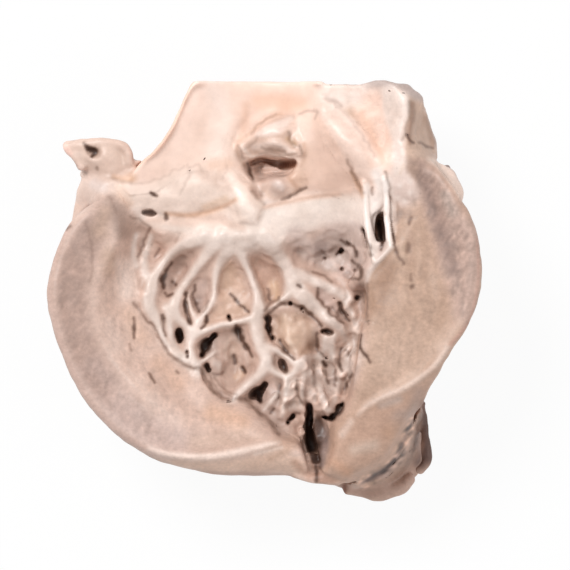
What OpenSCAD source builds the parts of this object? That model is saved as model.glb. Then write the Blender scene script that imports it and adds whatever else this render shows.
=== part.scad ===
// Opened human heart, an anatomy model for the classroom.
// The heart lies on its back with the cut left ventricle open towards +Z.
// +Y points to the great vessels, -Y to the apex, and the rear mass carries
// the flat patch on which the model rests.

/* [Heights] */
// Thickness of the rear mass, from the table to the plane on which the septum lies
rear_h = 22; // [16:1:30]
// Thickness of the septal wall between the two ventricles
septum_t = 8; // [5:0.5:14]
// Height of the anterior wall's cut face above the septal floor
anterior_rise = 12; // [8:0.5:18]
// Height of the posterior wall's cut face above the septal floor
posterior_rise = 20; // [14:0.5:26]
// Height of the widest part of the rear mass above the table
bulge_z = 13; // [9:0.5:15]

/* [Ventricle walls] */
// Width of the knife cut between the two walls at the apex
cleft_w = 3; // [2:0.25:5]
// How far the cut faces dip between their edges
face_dish = 1; // [0:0.25:2.5]
// Radius of the flat resting patch on the rear mass
rest_r = 20; // [12:1:24]

/* [Septal relief] */
// Strength of the hollows and mounds of the septal floor
relief = 1; // [0.2:0.1:1.3]
// Height of the muscle bands' centre lines above the floor
band_lift = 0.7; // [0.3:0.1:1.5]
// Half width of the main muscle bands
band_r = 2.1; // [1.4:0.1:2.6]
// Half width of the fine muscle bands
fine_band_r = 1.3; // [0.9:0.1:1.7]
// Height of a band's section against its width
band_flat = 0.8; // [0.5:0.05:1]

/* [Mitral valve] */
// Half width of the thick tendon strands
chorda_r = 1.3; // [0.8:0.1:1.6]
// Half width of the thin tendon strand
fine_chorda_r = 0.8; // [0.5:0.1:1.1]
// Half thickness of the anterior leaflet
leaflet_r = 2.2; // [1.4:0.1:3]
// Height of the leaflet's free edge above the septal floor
leaflet_z = 15; // [11:0.5:18]

/* [Aorta] */
// Wall thickness of the opened aorta
aorta_t = 2.4; // [1.5:0.1:4]
// Height of the aorta's deepest line above the septal plane
aorta_floor = 9; // [6:0.5:12]
// How far the aorta's cut edges stand above its deepest line
aorta_depth = 13; // [8:0.5:18]
// Width of the opening in the aorta's floor
ostium_w = 11.5; // [8:0.5:12]
// Height of that opening's floor above the septal plane
ostium_floor = 3; // [2:0.5:5]
// Half thickness of the valve cusps
cusp_r = 1.8; // [1.2:0.1:2.4]

/* [Left atrium] */
// Height of the left atrial rim above the septal plane
atrium_h = 27; // [20:0.5:32]
// Depth of the left atrial hollow below its rim
atrium_depth = 14; // [8:0.5:18]
// Half width of the rolled left atrial rim
rim_r = 1.9; // [1.2:0.1:2.6]
// Half width of the ear-shaped appendage's tube
auricle_r = 4.4; // [3.5:0.1:5.5]
// Half width of the opening in the appendage
auricle_bore_r = 2.1; // [1.5:0.1:2.8]

/* [Vessels on the back] */
// Outer diameter of the superior vena cava stump
svc_d = 15; // [11:0.5:18]
// Outer diameter of the inferior vena cava stump
ivc_d = 16; // [12:0.5:18]
// Outer diameter of the pulmonary trunk stump
pulmonary_d = 15.5; // [12:0.5:17]
// Wall thickness of the vessel stumps
vessel_wall = 2.4; // [1.6:0.1:3.5]
// Depth of the lumen in each vessel stump
lumen_depth = 7; // [3:0.5:9]
// Half width of the coronary sinus
sinus_r = 3.2; // [2.2:0.1:4]
// Half width of the coronary vessels in the grooves
coronary_r = 1.6; // [1:0.1:2.2]

/* [Hidden] */

// the frame's origin is the middle of the model's footprint
middle = [0, -0.15];
// centre from which the ventricle's walls are laid out
C = [0, -10];
floor_z = rear_h + septum_t;
anterior_z = floor_z + anterior_rise;
posterior_z = floor_z + posterior_rise;
steps = 2;
far = 300;

muscle = "#c4afa6";
inside = "#d9bba8";
cord = "#ede3de";
pale = "#efe3dc";
artery = "#f9ddd0";
fat = "#f5dfd0";
vein = "#b9a3a0";

// ---------- curves and lofts ----------

// Catmull-Rom blend of four rows of numbers
function blend(a, b, c, d, t) =
    0.5 * ((2 * b) + (c - a) * t + (2 * a - 5 * b + 4 * c - d) * t * t
    + (3 * b - 3 * c + d - a) * t * t * t);

// open curve through the rows p, with n steps in each span
function spline(p, n) = let (m = len(p) - 1)
    concat([for (i = [0 : m - 1], j = [0 : n - 1])
        blend(p[max(i - 1, 0)], p[i], p[i + 1], p[min(i + 2, m)], j / n)], [p[m]]);

// closed curve through the rows p
function loop(p, n) = let (m = len(p))
    [for (i = [0 : m - 1], j = [0 : n - 1])
        blend(p[(i + m - 1) % m], p[i], p[(i + 1) % m], p[(i + 2) % m], j / n)];

function polar(a, r) = [C.x + r * cos(a), C.y + r * sin(a)];
function mid(p) = [for (k = [0 : len(p[0]) - 1]) [for (q = p) q[k]] * [for (q = p) 1] / len(p)];

// closed solid through rings that have the same number of points; the end rings are closed
// with strips across them, with a fan from their middle (hub 0), or with a fan from a point
// hub above the middle of their base
module skin(rings, flip = false, hub = -1) {
    n = len(rings[0]);
    m = len(rings);
    function centre(r) = hub > 0 ? (r[0] + r[n - 1]) / 2 + [0, 0, hub] : mid(r);
    side = [for (i = [0 : m - 2], j = [0 : n - 1]) let (k = (j + 1) % n)
        each [[i * n + j, (i + 1) * n + j, (i + 1) * n + k], [i * n + j, (i + 1) * n + k, i * n + k]]];
    across = [for (j = [0 : ceil(n / 2) - 2]) each concat(
        n - 2 - j > j + 1 ? [[j, j + 1, n - 2 - j]] : [], [[j, n - 2 - j, n - 1 - j]])];
    ends = hub >= 0
        ? [for (j = [0 : n - 1]) let (k = (j + 1) % n) each [[j, k, m * n], [(m - 1) * n + k, (m - 1) * n + j, m * n + 1]]]
        : concat(across, [for (f = across) [for (k = [2 : -1 : 0]) (m - 1) * n + f[k]]]);
    faces = concat(side, ends);
    polyhedron(concat([for (r = rings) each r], hub >= 0 ? [centre(rings[0]), centre(rings[m - 1])] : []),
        flip ? [for (f = faces) [for (k = [len(f) - 1 : -1 : 0]) f[k]]] : faces);
}

// a row of round-ended links through points [x, y, z, r]
module chain(p, flat = 1, sides = 8)
    for (i = [0 : len(p) - 2])
        hull() {
            bead(p[i], flat, sides);
            bead(p[i + 1], flat, sides);
        }
module bead(p, flat, sides)
    translate([p[0], p[1], p[2]]) scale([1, 1, flat]) sphere(r = p[3], $fn = sides);
// one tube through points [x, y, z, r], each section upright and square to the path
module lofted(p, sides = 8)
    skin([for (i = [0 : len(p) - 1])
        let (a = p[max(i - 1, 0)], b = p[min(i + 1, len(p) - 1)], d = [b.x - a.x, b.y - a.y], t = d / norm(d))
        [for (k = [0 : sides - 1]) let (w = 360 * (k + 0.5) / sides)
            [p[i].x - p[i][3] * t.y * cos(w), p[i].y + p[i][3] * t.x * cos(w), p[i].z + p[i][3] * sin(w)]]], false, 0);

// ---------- the ventricle's two cut walls ----------
// Each row is one radial section, seen from C:
// [angle, floor edge, crest, inner edge of the cut face, its outer edge,
//  widest point, lower edge on the rear mass,
//  heights of crest, inner edge, outer edge and widest point against the cut face]

cleft_a = 289.8;
cleft_half = asin(cleft_w / 2 / 42);

anterior_rows = [
    [140,  46,   47.5, 49.5, 53,   55,   46.8,  -3, -1, 2, -2],
    [146,  43.5, 45.5, 48,   55.5, 58,   47,    -4, -1, 2, -2],
    [153,  40.5, 43,   46,   57,   59.7, 48,    -5, -1, 2, -2],
    [162,  36.5, 41.5, 47,   57.8, 60,   48.5,  -7, -1, 2.5, -2],
    [171,  34,   40,   46.8, 56.8, 59.3, 48,    -8, -1, 3, -2],
    [180,  30.8, 38,   45.5, 55,   57.2, 46,    -8, -1, 3, -2],
    [190,  28,   35.5, 43.6, 52.6, 54.8, 43.5,  -8, -1, 3, -2],
    [200,  25.7, 32.5, 39.5, 50.4, 52.6, 41,    -8, -1, 3, -2],
    [210,  23.2, 30,   37.2, 48,   50.6, 39,    -8, -1, 3, -2],
    [220,  22,   29,   36,   46,   48.5, 37,    -8, -1, 2.5, -3],
    [230,  22.4, 28.5, 34.8, 43.6, 46.4, 35,    -8, -1.5, 2, -4],
    [240,  22.6, 28,   33.4, 40,   44.2, 33.5,  -8, -2, 2, -5],
    [250,  21.2, 26,   31.3, 36.4, 42.5, 32,    -8, -2.5, 1.5, -7],
    [260,  21,   24.5, 28.8, 33.2, 40.8, 31,    -8, -3, 1, -9],
    [270,  24,   26,   28.4, 31.4, 40.2, 31,    -8, -3.5, 0, -10],
    [279,  28.6, 29.4, 30.4, 32,   41.2, 33,    -8, -4.5, -1.5, -12],
    [cleft_a - cleft_half, 32.5, 33.2, 33.8, 34.8, 43.8, 36.8, -8, -5, -3, -13]];

posterior_rows = [
    [cleft_a + cleft_half, 34.5, 35.3, 37, 38.5, 44.5, 38, -15, -12.5, -12, -19],
    [298,  35,   36,   37.3, 38.5, 48.5, 39,    -14, -11.5, -11, -19],
    [305,  32.3, 33.3, 34.8, 36,   50.3, 38.5,  -12, -10, -9, -18],
    [313,  30.8, 31.6, 33,   34.3, 51.5, 38,    -9, -7.5, -7, -17],
    [320,  29.8, 30.5, 32.2, 34.3, 50.3, 37.5,  -6, -5.5, -5, -15],
    [327,  28.3, 29,   32.5, 36.3, 48.5, 37,    -4, -4, -4, -12],
    [334,  27,   27.6, 34,   39.9, 47.6, 36.5,  -3, -3.5, -3, -9],
    [340,  26.5, 27,   36,   43,   47.5, 37,    -2.5, -3, -2, -6],
    [346,  26.2, 26.6, 38.5, 46.3, 49,   38,    -2, -2.5, -1, -4],
    [353,  26,   26.4, 41.5, 48.8, 51,   39,    -2, -2, 0, -3],
    [360,  26.6, 27,   45,   52.5, 55,   41,    -2, -1.5, 1, -2],
    [370,  28.3, 28.7, 49.5, 57,   59,   44,    -2, -1, 2, -2],
    [380,  29.3, 29.7, 49,   60,   62,   47,    -2, -1, 3, -1],
    [387,  30.9, 31.5, 49.5, 61.3, 63,   48,    -1.5, -1, 3, -1],
    [392,  39.3, 40,   50.5, 61.6, 63.3, 50,    -1, -1, 3, -1],
    [400,  46.5, 47.2, 54.5, 61.8, 63.6, 53,    -4, -2, 2, -2],
    [406,  52,   52.8, 57,   62,   64.2, 56,    -6, -3, 1, -3],
    [412,  57,   57.6, 59.5, 61.5, 64.4, 60.4,  -8, -5, 0, -4]];

anterior_s = spline(anterior_rows, steps);
posterior_s = spline(posterior_rows, steps);

// one radial section of a cut wall, as a closed ring
function wall_ring(w, top) =
    let (a = w[0], i = w[1], k = w[2], n = w[3], g = w[4], s = w[5], u = w[6],
         zk = top + w[7], zn = top + w[8], zg = top + w[9], zs = top + w[10],
         ze = edge_z(polar(a, i)),
         drop = zs - rear_h,
         pts = [
            [i, rear_h], [i, ze], [k, zk],
            [(k + n) / 2, (zk + zn) / 2 + 0.08 * (n - k)],
            [n, zn],
            [n + (g - n) / 3, zn + (zg - zn) * 0.2 - face_dish * 0.7],
            [n + (g - n) * 0.67, zn + (zg - zn) * 0.5 - face_dish * 0.7],
            [g, zg],
            [g + (s - g) * 0.45, zs + (zg - zs) * 0.88],
            [g + (s - g) * 0.8, zs + (zg - zs) * 0.55],
            [s, zs],
            [s + (u - s) * 0.12, zs - drop * 0.3],
            [s + (u - s) * 0.36, zs - drop * 0.6],
            [s + (u - s) * 0.7, zs - drop * 0.85],
            [u, rear_h]])
    [for (p = pts) let (q = polar(a, p[0])) [q.x, q.y, p[1]]];

// ---------- the septal floor ----------

// hollows and mounds: [x, y, half width, half length, height]
relief_spots = [
    [-6, 17, 22, 6, 3], [14, 16, 12, 5, 2],
    [15, 9, 8, 5, -3], [20.5, 9.5, 3, 3, -2.5], [25, 14, 4, 6, -3],
    [-24, 4, 3, 5, -4], [-31, 11, 2.5, 5, -2.5],
    [-19, -2, 2, 5, -3.5], [-22.5, -13, 2.2, 4, -4],
    [-9, -15, 4, 5, -4.5], [-8, -23, 4, 4, -4.5], [-13, -19, 2.5, 3, 1.5],
    [-2, -29, 3, 3.5, -4.5], [2, -29.5, 1.8, 1.8, 2.5],
    [2, -9, 2, 5, -4], [8, -11, 4.5, 5, 1], [12, -6, 4, 3, -3],
    [14, -16, 3, 4, -4], [5, -20, 2, 3, -3],
    [18, -22, 3.5, 5, -4], [17, -30, 2.5, 3.5, 2.5], [22, -27, 2.5, 5, -4],
    [24, -14, 2.5, 4, -3], [8, -34, 3, 3, -3.5], [11, -28, 2, 4, 1.5],
    [-9, 3, 4, 5, -2], [2, 4, 4, 4, -2], [-33, -4, 4, 8, 2], [-26, -20, 4, 5, 2]];

function dent(p, s) = s[4] * exp(-pow((p.x - s[0]) / s[2], 2) - pow((p.y - s[1]) / s[3], 2));
function top_z(p) = floor_z + relief * ([for (s = relief_spots) dent(p, s)] * [for (s = relief_spots) 1]);
// the floor's edge where another piece stands against it
function edge_z(p) = max(top_z(p), rear_h + 2);

// the septum's edge towards the great vessels, [x, y] from right to left
base_edge = [[28, 19.5], [24, 18], [18, 16.5], [12, 15.5], [6, 15], [0, 15],
    [-8, 15.2], [-16, 15.4], [-24, 15.8], [-30, 17.2]];
base_s = spline(base_edge, steps);
shared_to = 15 * steps;

septal_edge = concat(
    [for (i = [0 : shared_to]) polar(posterior_s[i][0], posterior_s[i][1])],
    base_s,
    [for (w = anterior_s) polar(w[0], w[1])],
    [polar(cleft_a - 1.2, 25.5), polar(cleft_a + 1.2, 25.5)]);

module septal_solid() {
    e = septal_edge;
    n = len(e);
    rings = [0.12, 0.24, 0.36, 0.47, 0.58, 0.68, 0.78, 0.88, 0.95, 1];
    m = len(rings);
    o = [4, -6];
    function at(k, j) = o + rings[k] * (e[j] - o);
    pts = concat(
        [for (k = [0 : m - 1], j = [0 : n - 1]) let (p = at(k, j)) [p.x, p.y, edge_z(p)]],
        [for (j = [0 : n - 1]) [e[j].x, e[j].y, rear_h]],
        [[o.x, o.y, edge_z(o)], [o.x, o.y, rear_h]]);
    faces = concat(
        [for (k = [0 : m - 1], j = [0 : n - 1]) let (i = (j + 1) % n)
            each [[k * n + j, (k + 1) * n + j, (k + 1) * n + i], [k * n + j, (k + 1) * n + i, k * n + i]]],
        [for (j = [0 : n - 1]) [j, (j + 1) % n, (m + 1) * n]],
        [for (j = [0 : n - 1]) [m * n + (j + 1) % n, m * n + j, (m + 1) * n + 1]]);
    polyhedron(pts, [for (f = faces) [for (k = [len(f) - 1 : -1 : 0]) f[k]]]);
}

module septal_wall() color(inside) septal_solid();

module anterior_solid() skin([for (w = anterior_s) wall_ring(w, anterior_z)]);
module posterior_solid() skin([for (w = posterior_s) wall_ring(w, posterior_z)]);
module anterior_wall_flap() color(muscle) anterior_solid();
module posterior_wall_flap() color(muscle) posterior_solid();

// ---------- the rear mass ----------
// [angle, edge on the septal plane, widest point]

base_y = 18;
rear_rows = concat(
    [for (w = anterior_rows) [w[0], w[6], w[6] - 0.6]],
    [[posterior_rows[0][0], 38, 44.5], [298, 39, 51], [305, 38.5, 57], [313, 38, 59],
     [320, 37.5, 58], [327, 37, 54.5], [334, 36.5, 48], [340, 37, 41],
     [346, 38, 38], [353, 39, 38.5], [360, 41, 40.5], [370, 44, 43], [380, 47, 46]],
    [for (q = [[44, 18], [34, 18], [24, 18], [14, 18], [4, 18], [-6, 18], [-16, 18], [-26, 18]])
        let (v = q - C) [atan2(v.y, v.x) + 360, norm(v), norm(v) - 1]]);
rear_s = loop2(rear_rows, 2);
// closed curve whose first number is an angle that goes once round
function loop2(p, n) = let (m = len(p),
    w = concat([p[m - 1] - [360, 0, 0]], p, [p[0] + [360, 0, 0], p[1] + [360, 0, 0]]))
    [for (i = [1 : m], j = [0 : n - 1]) blend(w[i - 1], w[i], w[i + 1], w[i + 2], j / n)];

function rear_ring(z, f, g) =
    [for (w = rear_s) let (q = polar(w[0], min((w[1] + (w[2] - w[1]) * f) * g,
        w[0] > 388 || w[0] < 150 ? (base_y - C.y) / sin(w[0]) : far))) [q.x, q.y, z]];
module rear_solid() {
    top = rear_ring(rear_h, 0, 1);
    rest = [for (w = rear_s) let (q = polar(w[0], rest_r)) [q.x, q.y, 0]];
    skin([top, rear_ring((rear_h + bulge_z) / 2, 0.7, 1), rear_ring(bulge_z, 1, 1),
        rear_ring(bulge_z * 0.6, 1, 0.93), rear_ring(bulge_z * 0.27, 1, 0.78),
        rear_ring(bulge_z * 0.08, 1, 0.6), rest], true, 0);
}
module right_ventricle() color(muscle) rear_solid();

// a soft mass under the great vessels, narrowing downwards towards its inner corner
rear_corner = [4, base_y];
module rear_lobe(side, low, flip) {
    o = concat([rear_corner], spline(side, 3));
    function ring(z, g) = [for (p = o) let (q = rear_corner + g * (p - rear_corner)) [q.x, q.y, z]];
    skin([ring(rear_h, 1), ring(rear_h * 0.72, 1), ring(rear_h * 0.45, 0.95),
        ring(rear_h * 0.24, 0.85), ring(low + rear_h * 0.05, 0.7), ring(low, 0.5)], flip, 0);
}
module atrium_rear_solid()
    rear_lobe([[45, 18], [49, 22], [49.6, 29], [45, 38], [41, 45], [34, 49.4], [24, 51], [12, 50.4], [4, 47.6]], 1.2, true);
module infundibulum_solid()
    rear_lobe([[-38, 18], [-41, 23.4], [-36, 29], [-28, 34], [-21, 42], [-13, 46.6], [-4, 47.8], [4, 47.6]], 2.5, false);

// vessel stumps: [x, y of the mouth, height] and the direction in which they point
vessel_z = rear_h / 2 + 0.5;
svc_at = [27, 54, vessel_z];
pulmonary_at = [-9, 54, vessel_z];
ivc_at = [51, 26.2, vessel_z - 1.5];
module towards_base() rotate([90, 0, 0]) children();
module towards_side() rotate([0, -90, 0]) children();
module tube(d, h) difference() {
    cylinder(d = d, h = h, $fn = 64);
    translate([0, 0, -1]) cylinder(d = d - 2 * vessel_wall, h = lumen_depth + 1, $fn = 64);
}
module lumen(d) cylinder(d = d - 2 * vessel_wall, h = lumen_depth, $fn = 64);

module right_atrium() color(vein) difference() {
    atrium_rear_solid();
    translate(svc_at) towards_base() lumen(svc_d);
    translate(ivc_at) towards_side() lumen(ivc_d);
}
module pulmonary_infundibulum() color(muscle) difference() {
    infundibulum_solid();
    translate(pulmonary_at) towards_base() lumen(pulmonary_d);
}
module superior_vena_cava() color(vein) difference() {
    translate(svc_at) towards_base() tube(svc_d, 10);
    atrium_rear_solid();
}
module pulmonary_trunk() color(artery) difference() {
    translate(pulmonary_at) towards_base() tube(pulmonary_d, 12);
    infundibulum_solid();
}
module inferior_vena_cava() color(vein) difference() {
    translate(ivc_at) towards_side() tube(ivc_d, 11);
    atrium_rear_solid();
}
module coronary_sinus() color(vein) difference() {
    chain([for (x = [-31 : 7 : 32]) [x, base_y, bulge_z * 0.35 + 1.5 * sin(x * 4), sinus_r]], 1, 8);
    rear_solid();
    atrium_rear_solid();
    infundibulum_solid();
}

// vessels that run in the grooves between the rear mass and the cut walls
anterior_path = [for (i = [4 : 2 : len(anterior_s) - 5])
    let (w = anterior_s[i], r = coronary_r * (1.15 - 0.35 * i / len(anterior_s)), q = polar(w[0], w[6] + 0.7 * r))
    [q.x, q.y, rear_h - 0.5 * r, r]];
posterior_path = [for (i = [1 : 2 : 8 * steps]) let (w = posterior_s[i], q = polar(w[0], w[6] + coronary_r * 0.9))
    [q.x, q.y, rear_h - coronary_r * 0.2, coronary_r]];
module anterior_interventricular_artery() color(fat) difference() {
    lofted(anterior_path);
    rear_solid();
    anterior_solid();
}
module posterior_interventricular_artery() color(vein) difference() {
    lofted(posterior_path);
    rear_solid();
    posterior_solid();
}

// ---------- the base of the ventricle ----------

// upper edge of the outflow tract and of the lower fat roll, one point for each of base_edge
upper_edge = [[29.5, 24], [25.5, 26.8], [19, 26], [12, 25], [5, 23.5], [-1, 21.5],
    [-8.5, 20.5], [-16, 20], [-24, 19.9], [-31, 20.6]];
upper_s = spline(upper_edge, steps);
split_i = 6 * steps;

// a band along the septum's edge: the section is a crown of the given height
module base_band(i0, i1, lift, crown) {
    skin([for (i = [i0 : i1]) let (p = base_s[i], q = upper_s[i], z = edge_z(p))
        [for (s = [[0, rear_h], [0, z], [0.16, z + 0.5 * crown], [0.36, z + crown], [0.6, z + crown + 0.3 * lift],
            [0.82, z + 0.6 * crown + 0.7 * lift], [1, z + lift], [1, rear_h]])
            let (v = p + s[0] * (q - p)) [v.x, v.y, s[1]]]], false, 3);
}
module outflow_solid() base_band(0, split_i, 2.5, 0.8);
module lower_fat_solid() base_band(split_i, len(base_s) - 1, -1, 2.2);
module outflow_tract() color(pale) outflow_solid();
module groove_fat_lower() color(fat) lower_fat_solid();

module upper_fat_solid() {
    z = rear_h + 8;
    chain([[-42, 27, z + 1, 3.6], [-38, 25.5, z + 1.5, 4.2], [-33.5, 25, z + 2, 4.4], [-29, 24.8, z + 1.5, 4],
        [-24.5, 25, z + 2.2, 4.3], [-20, 25.8, z + 3, 4.6], [-15.5, 26.6, z + 2.4, 4.2], [-11, 28, z + 2, 4]], 1, 8);
    chain([[-38, 25.5, rear_h + 3, 4], [-24, 25, rear_h + 3, 4], [-12, 27.6, rear_h + 3.4, 3.8]], 1, 8);
}
module upper_fat_floor() translate([-far / 2, -far / 2, rear_h - far]) cube([far, far, far]);
module groove_fat_upper() color(fat) difference() {
    upper_fat_solid();
    upper_fat_floor();
    lower_fat_solid();
    anterior_solid();
    root_solid();
    aorta_solid();
}
module bulb_solid() {
    z = floor_z + 6;
    chain([[-9, 28, z - 1, 3.4], [-7.6, 26, z - 0.4, 3.6], [-6.4, 24.2, z, 3.7], [-5.2, 22.6, z, 3.7],
        [-4, 21, z, 3.7], [-3, 19.6, z - 0.4, 3.4]], 1, 10);
    chain([[-9, 28, z - 5, 3.4], [-7, 25, z - 5.5, 3.6], [-5, 22.4, z - 5, 3.6]], 1, 8);
}
module left_coronary_bulb() color(pale) difference() {
    bulb_solid();
    upper_fat_solid();
    upper_fat_floor();
    outflow_solid();
    lower_fat_solid();
    root_solid();
    aorta_solid();
}
module anterior_fat_solid() {
    z = rear_h + 8;
    chain([[-38.6, 24, z + 3, 4.2], [-43, 27, z + 2, 4.6], [-46.4, 28.6, z + 2, 4], [-47, 25, z, 4.4],
        [-49, 21, z - 2, 3.6], [-50.5, 17, z - 3, 3]], 1, 8);
    chain([[-46, 29, z + 1, 4], [-45, 32, z + 1, 4], [-41, 30, z, 4], [-38, 27, z - 2, 4.4]], 1, 8);
    chain([[-44, 26, rear_h + 3.5, 4], [-38, 25, rear_h + 3, 4.6]], 1, 8);
}
module anterior_fat() color(fat) difference() {
    anterior_fat_solid();
    upper_fat_floor();
    anterior_solid();
    upper_fat_solid();
    auricle_solid();
}

// ---------- the aorta ----------
// [y, x of the left edge, x of the deepest line, x of the right edge, rise of the left and right edge]

aorta_rows = [
    [27,   -35,   -4,   13, 0.55, 0.3],
    [31,   -35.2, -4,   13, 0.7, 0.45],
    [35,   -31.5, -3,   13, 0.85, 0.6],
    [38.5, -27.6, -2,   13, 0.95, 0.8],
    [43,   -24.2, -1,   13, 1, 0.9],
    [48,   -21.8, 0,    13.5, 1, 1],
    [52.5, -19.8, 0,    14, 1, 1],
    [56.4, -17.6, 0,    14.5, 0.95, 0.95]];
aorta_s = spline(aorta_rows, 2);
aorta_z = rear_h + aorta_floor;
arc_n = 6;
arc = [for (k = [-arc_n : arc_n]) k / arc_n];
function aorta_xz(w, u, out = 0) =
    let (e = u < 0 ? w[1] : w[3], h = (u < 0 ? w[4] : w[5]) * aorta_depth,
         x = w[2] + abs(u) * (e - w[2]), z = aorta_z + h * pow(abs(u), 2.2),
         s = (u < 0 ? -1 : 1) * 2.2 * h * pow(abs(u), 1.2) / max(abs(e - w[2]), 1),
         l = sqrt(1 + s * s))
    [x + out * s / l, z - out / l];
module aorta_solid()
    skin([for (w = aorta_s) concat(
        [for (u = arc) let (q = aorta_xz(w, u)) [q.x, w[0], q.y]],
        [for (k = [len(arc) - 1 : -1 : 0]) let (q = aorta_xz(w, arc[k], aorta_t)) [q.x, w[0], q.y]])], false);
// the dark opening under the left cusp
module ostium()
    translate([2, 33, rear_h + ostium_floor]) linear_extrude(height = 30)
        polygon([for (k = [0 : 17]) [ostium_w / 2 * cos(k * 20), ostium_w / 6 * sin(k * 20)]]);
module aortic_wall() color(artery) difference() { aorta_solid(); ostium(); }

// tissue that carries the aorta on the rear mass
root_a = 4;
root_b = 5;
module root_solid()
    skin([for (i = [0 : 2 * 5]) let (w = aorta_s[i], a = arc[arc_n - root_a], b = arc[arc_n + root_b],
            p = aorta_xz(w, a, aorta_t), q = aorta_xz(w, b, aorta_t))
        concat([[q.x, w[0], rear_h]],
            [for (k = [arc_n + root_b : -1 : arc_n - root_a]) let (v = aorta_xz(w, arc[k], aorta_t)) [v.x, w[0], v.y]],
            [[p.x, w[0], rear_h]])], true, 3);
module aortic_root() color(fat) difference() { root_solid(); ostium(); }

// the aorta's inner surface above [x, y]
function aorta_row(y) = let (k = max(0, min(len(aorta_s) - 2, [for (w = aorta_s) w[0] <= y ? 1 : 0] * [for (w = aorta_s) 1] - 1)),
        a = aorta_s[k], b = aorta_s[k + 1], t = max(0, min(1, (y - a[0]) / (b[0] - a[0])))) a + t * (b - a);
function aorta_top(x, y) = let (w = aorta_row(y), left = x < w[2])
    aorta_z + (left ? w[4] : w[5]) * aorta_depth * pow(abs((x - w[2]) / ((left ? w[1] : w[3]) - w[2])), 2.2);

// crumpled cusps of the aortic valve: [x, y, height above the aorta, share of the half thickness]
module cusp(p) chain([for (q = p) [q[0], q[1], aorta_top(q[0], q[1]) + q[2], cusp_r * q[3]]], 1, 8);
module cusp_cut() {
    aorta_solid();
    root_solid();
    outflow_solid();
    curtain_solid();
    bulb_solid();
}
module left_cusp_solid() {
    cusp([[-5.5, 38.5, 4.4, 1], [-2, 41.5, 5.6, 1.3], [2, 44, 5, 1.5], [6, 44, 4, 1.4], [8.2, 40.5, 3, 1.2]]);
    cusp([[-3, 38.8, 5, 1], [1, 39.5, 6.8, 1.2], [5, 39, 6.2, 1.3], [8, 38.2, 3.4, 1]]);
    cusp([[1, 44.4, 0, 1.3], [2, 42.4, 3, 1.3], [3, 40.4, 5.6, 1.3]]);
}
module left_coronary_cusp() color(pale) difference() { left_cusp_solid(); cusp_cut(); }
module right_cusp_solid() {
    cusp([[-3.4, 28.6, 1.4, 1.2], [0, 28.2, 3, 1.5], [3.6, 28.6, 3.6, 1.7], [6.6, 29.4, 2.6, 1.4], [8.6, 30.6, 1.6, 1]]);
    cusp([[1, 26, 2, 1.2], [4, 26.8, 2.6, 1.3], [7.6, 27.8, 2, 1.2], [9.4, 29, 1.2, 1]]);
    cusp([[3, 28.4, 0, 1.4], [4.6, 28.4, 2, 1.4]]);
}
module right_coronary_cusp() color(pale) difference() { right_cusp_solid(); cusp_cut(); }
module noncoronary_solid() {
    cusp([[9.4, 38.6, 0.9, 1.1], [9.2, 35.8, 1.2, 1.2], [8.8, 33.4, 1.2, 1]]);
    cusp([[-6.4, 38, 2.6, 1], [-6.4, 35.4, 2.2, 1.2], [-6.2, 33, 1.8, 1.2], [-5.6, 30.8, 1.2, 1]]);
    cusp([[-6.2, 36.6, 1.2, 1], [-2, 36.4, 0.6, 1.1], [4, 36.4, 0.6, 1.1], [8.8, 36.4, 1.2, 1]]);
}
module noncoronary_cusp() color(fat) difference() {
    noncoronary_solid();
    cusp_cut();
    left_cusp_solid();
    right_cusp_solid();
}

// ---------- curtain, atrium and mitral valve ----------
// blocks on the septal plane: rows at one y, each [x, height above the plane]

module block(rows)
    skin([for (w = rows) concat([[w[1], w[0], rear_h]],
        [for (k = [1 : 2 : len(w) - 2]) [w[k], w[0], rear_h + w[k + 1]]],
        [[w[len(w) - 2], w[0], rear_h]])], false, 3);
a_h = atrium_h;
hol = atrium_h - atrium_depth;
// [y, then pairs of x and height from left to right]
module curtain_solid() block([
    [27,   14, 10, 16, 13, 19, 15,   22, 15,   24, 13,   26, 9],
    [31,   14, 11, 16, 15, 19, 18,   22, 18.5, 25, 17,   27.5, 12],
    [36,   14, 12, 16, 16, 18.5, 19, 22, 20,   25.5, 18, 28, hol],
    [41,   14, 14, 16, 18, 18, 20,   21, 20.5, 24, 18,   26, hol],
    [46,   14.5, 16, 16, 19, 17.5, 20.5, 19, 20.5, 21, 18, 23, hol + 2],
    [50,   14.5, 18, 15.5, 19, 16.5, 19.5, 17.5, 19.5, 19, 18, 21, hol + 5],
    [54,   14.5, a_h - 10, 16, a_h - 9, 17, a_h - 9, 18, a_h - 9, 19.5, a_h - 9, 21, a_h - 10],
    [55.5, 15, a_h - 18, 16, a_h - 17, 17, a_h - 16.5, 18, a_h - 16.5, 19.5, a_h - 17, 21, a_h - 18]]);
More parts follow.
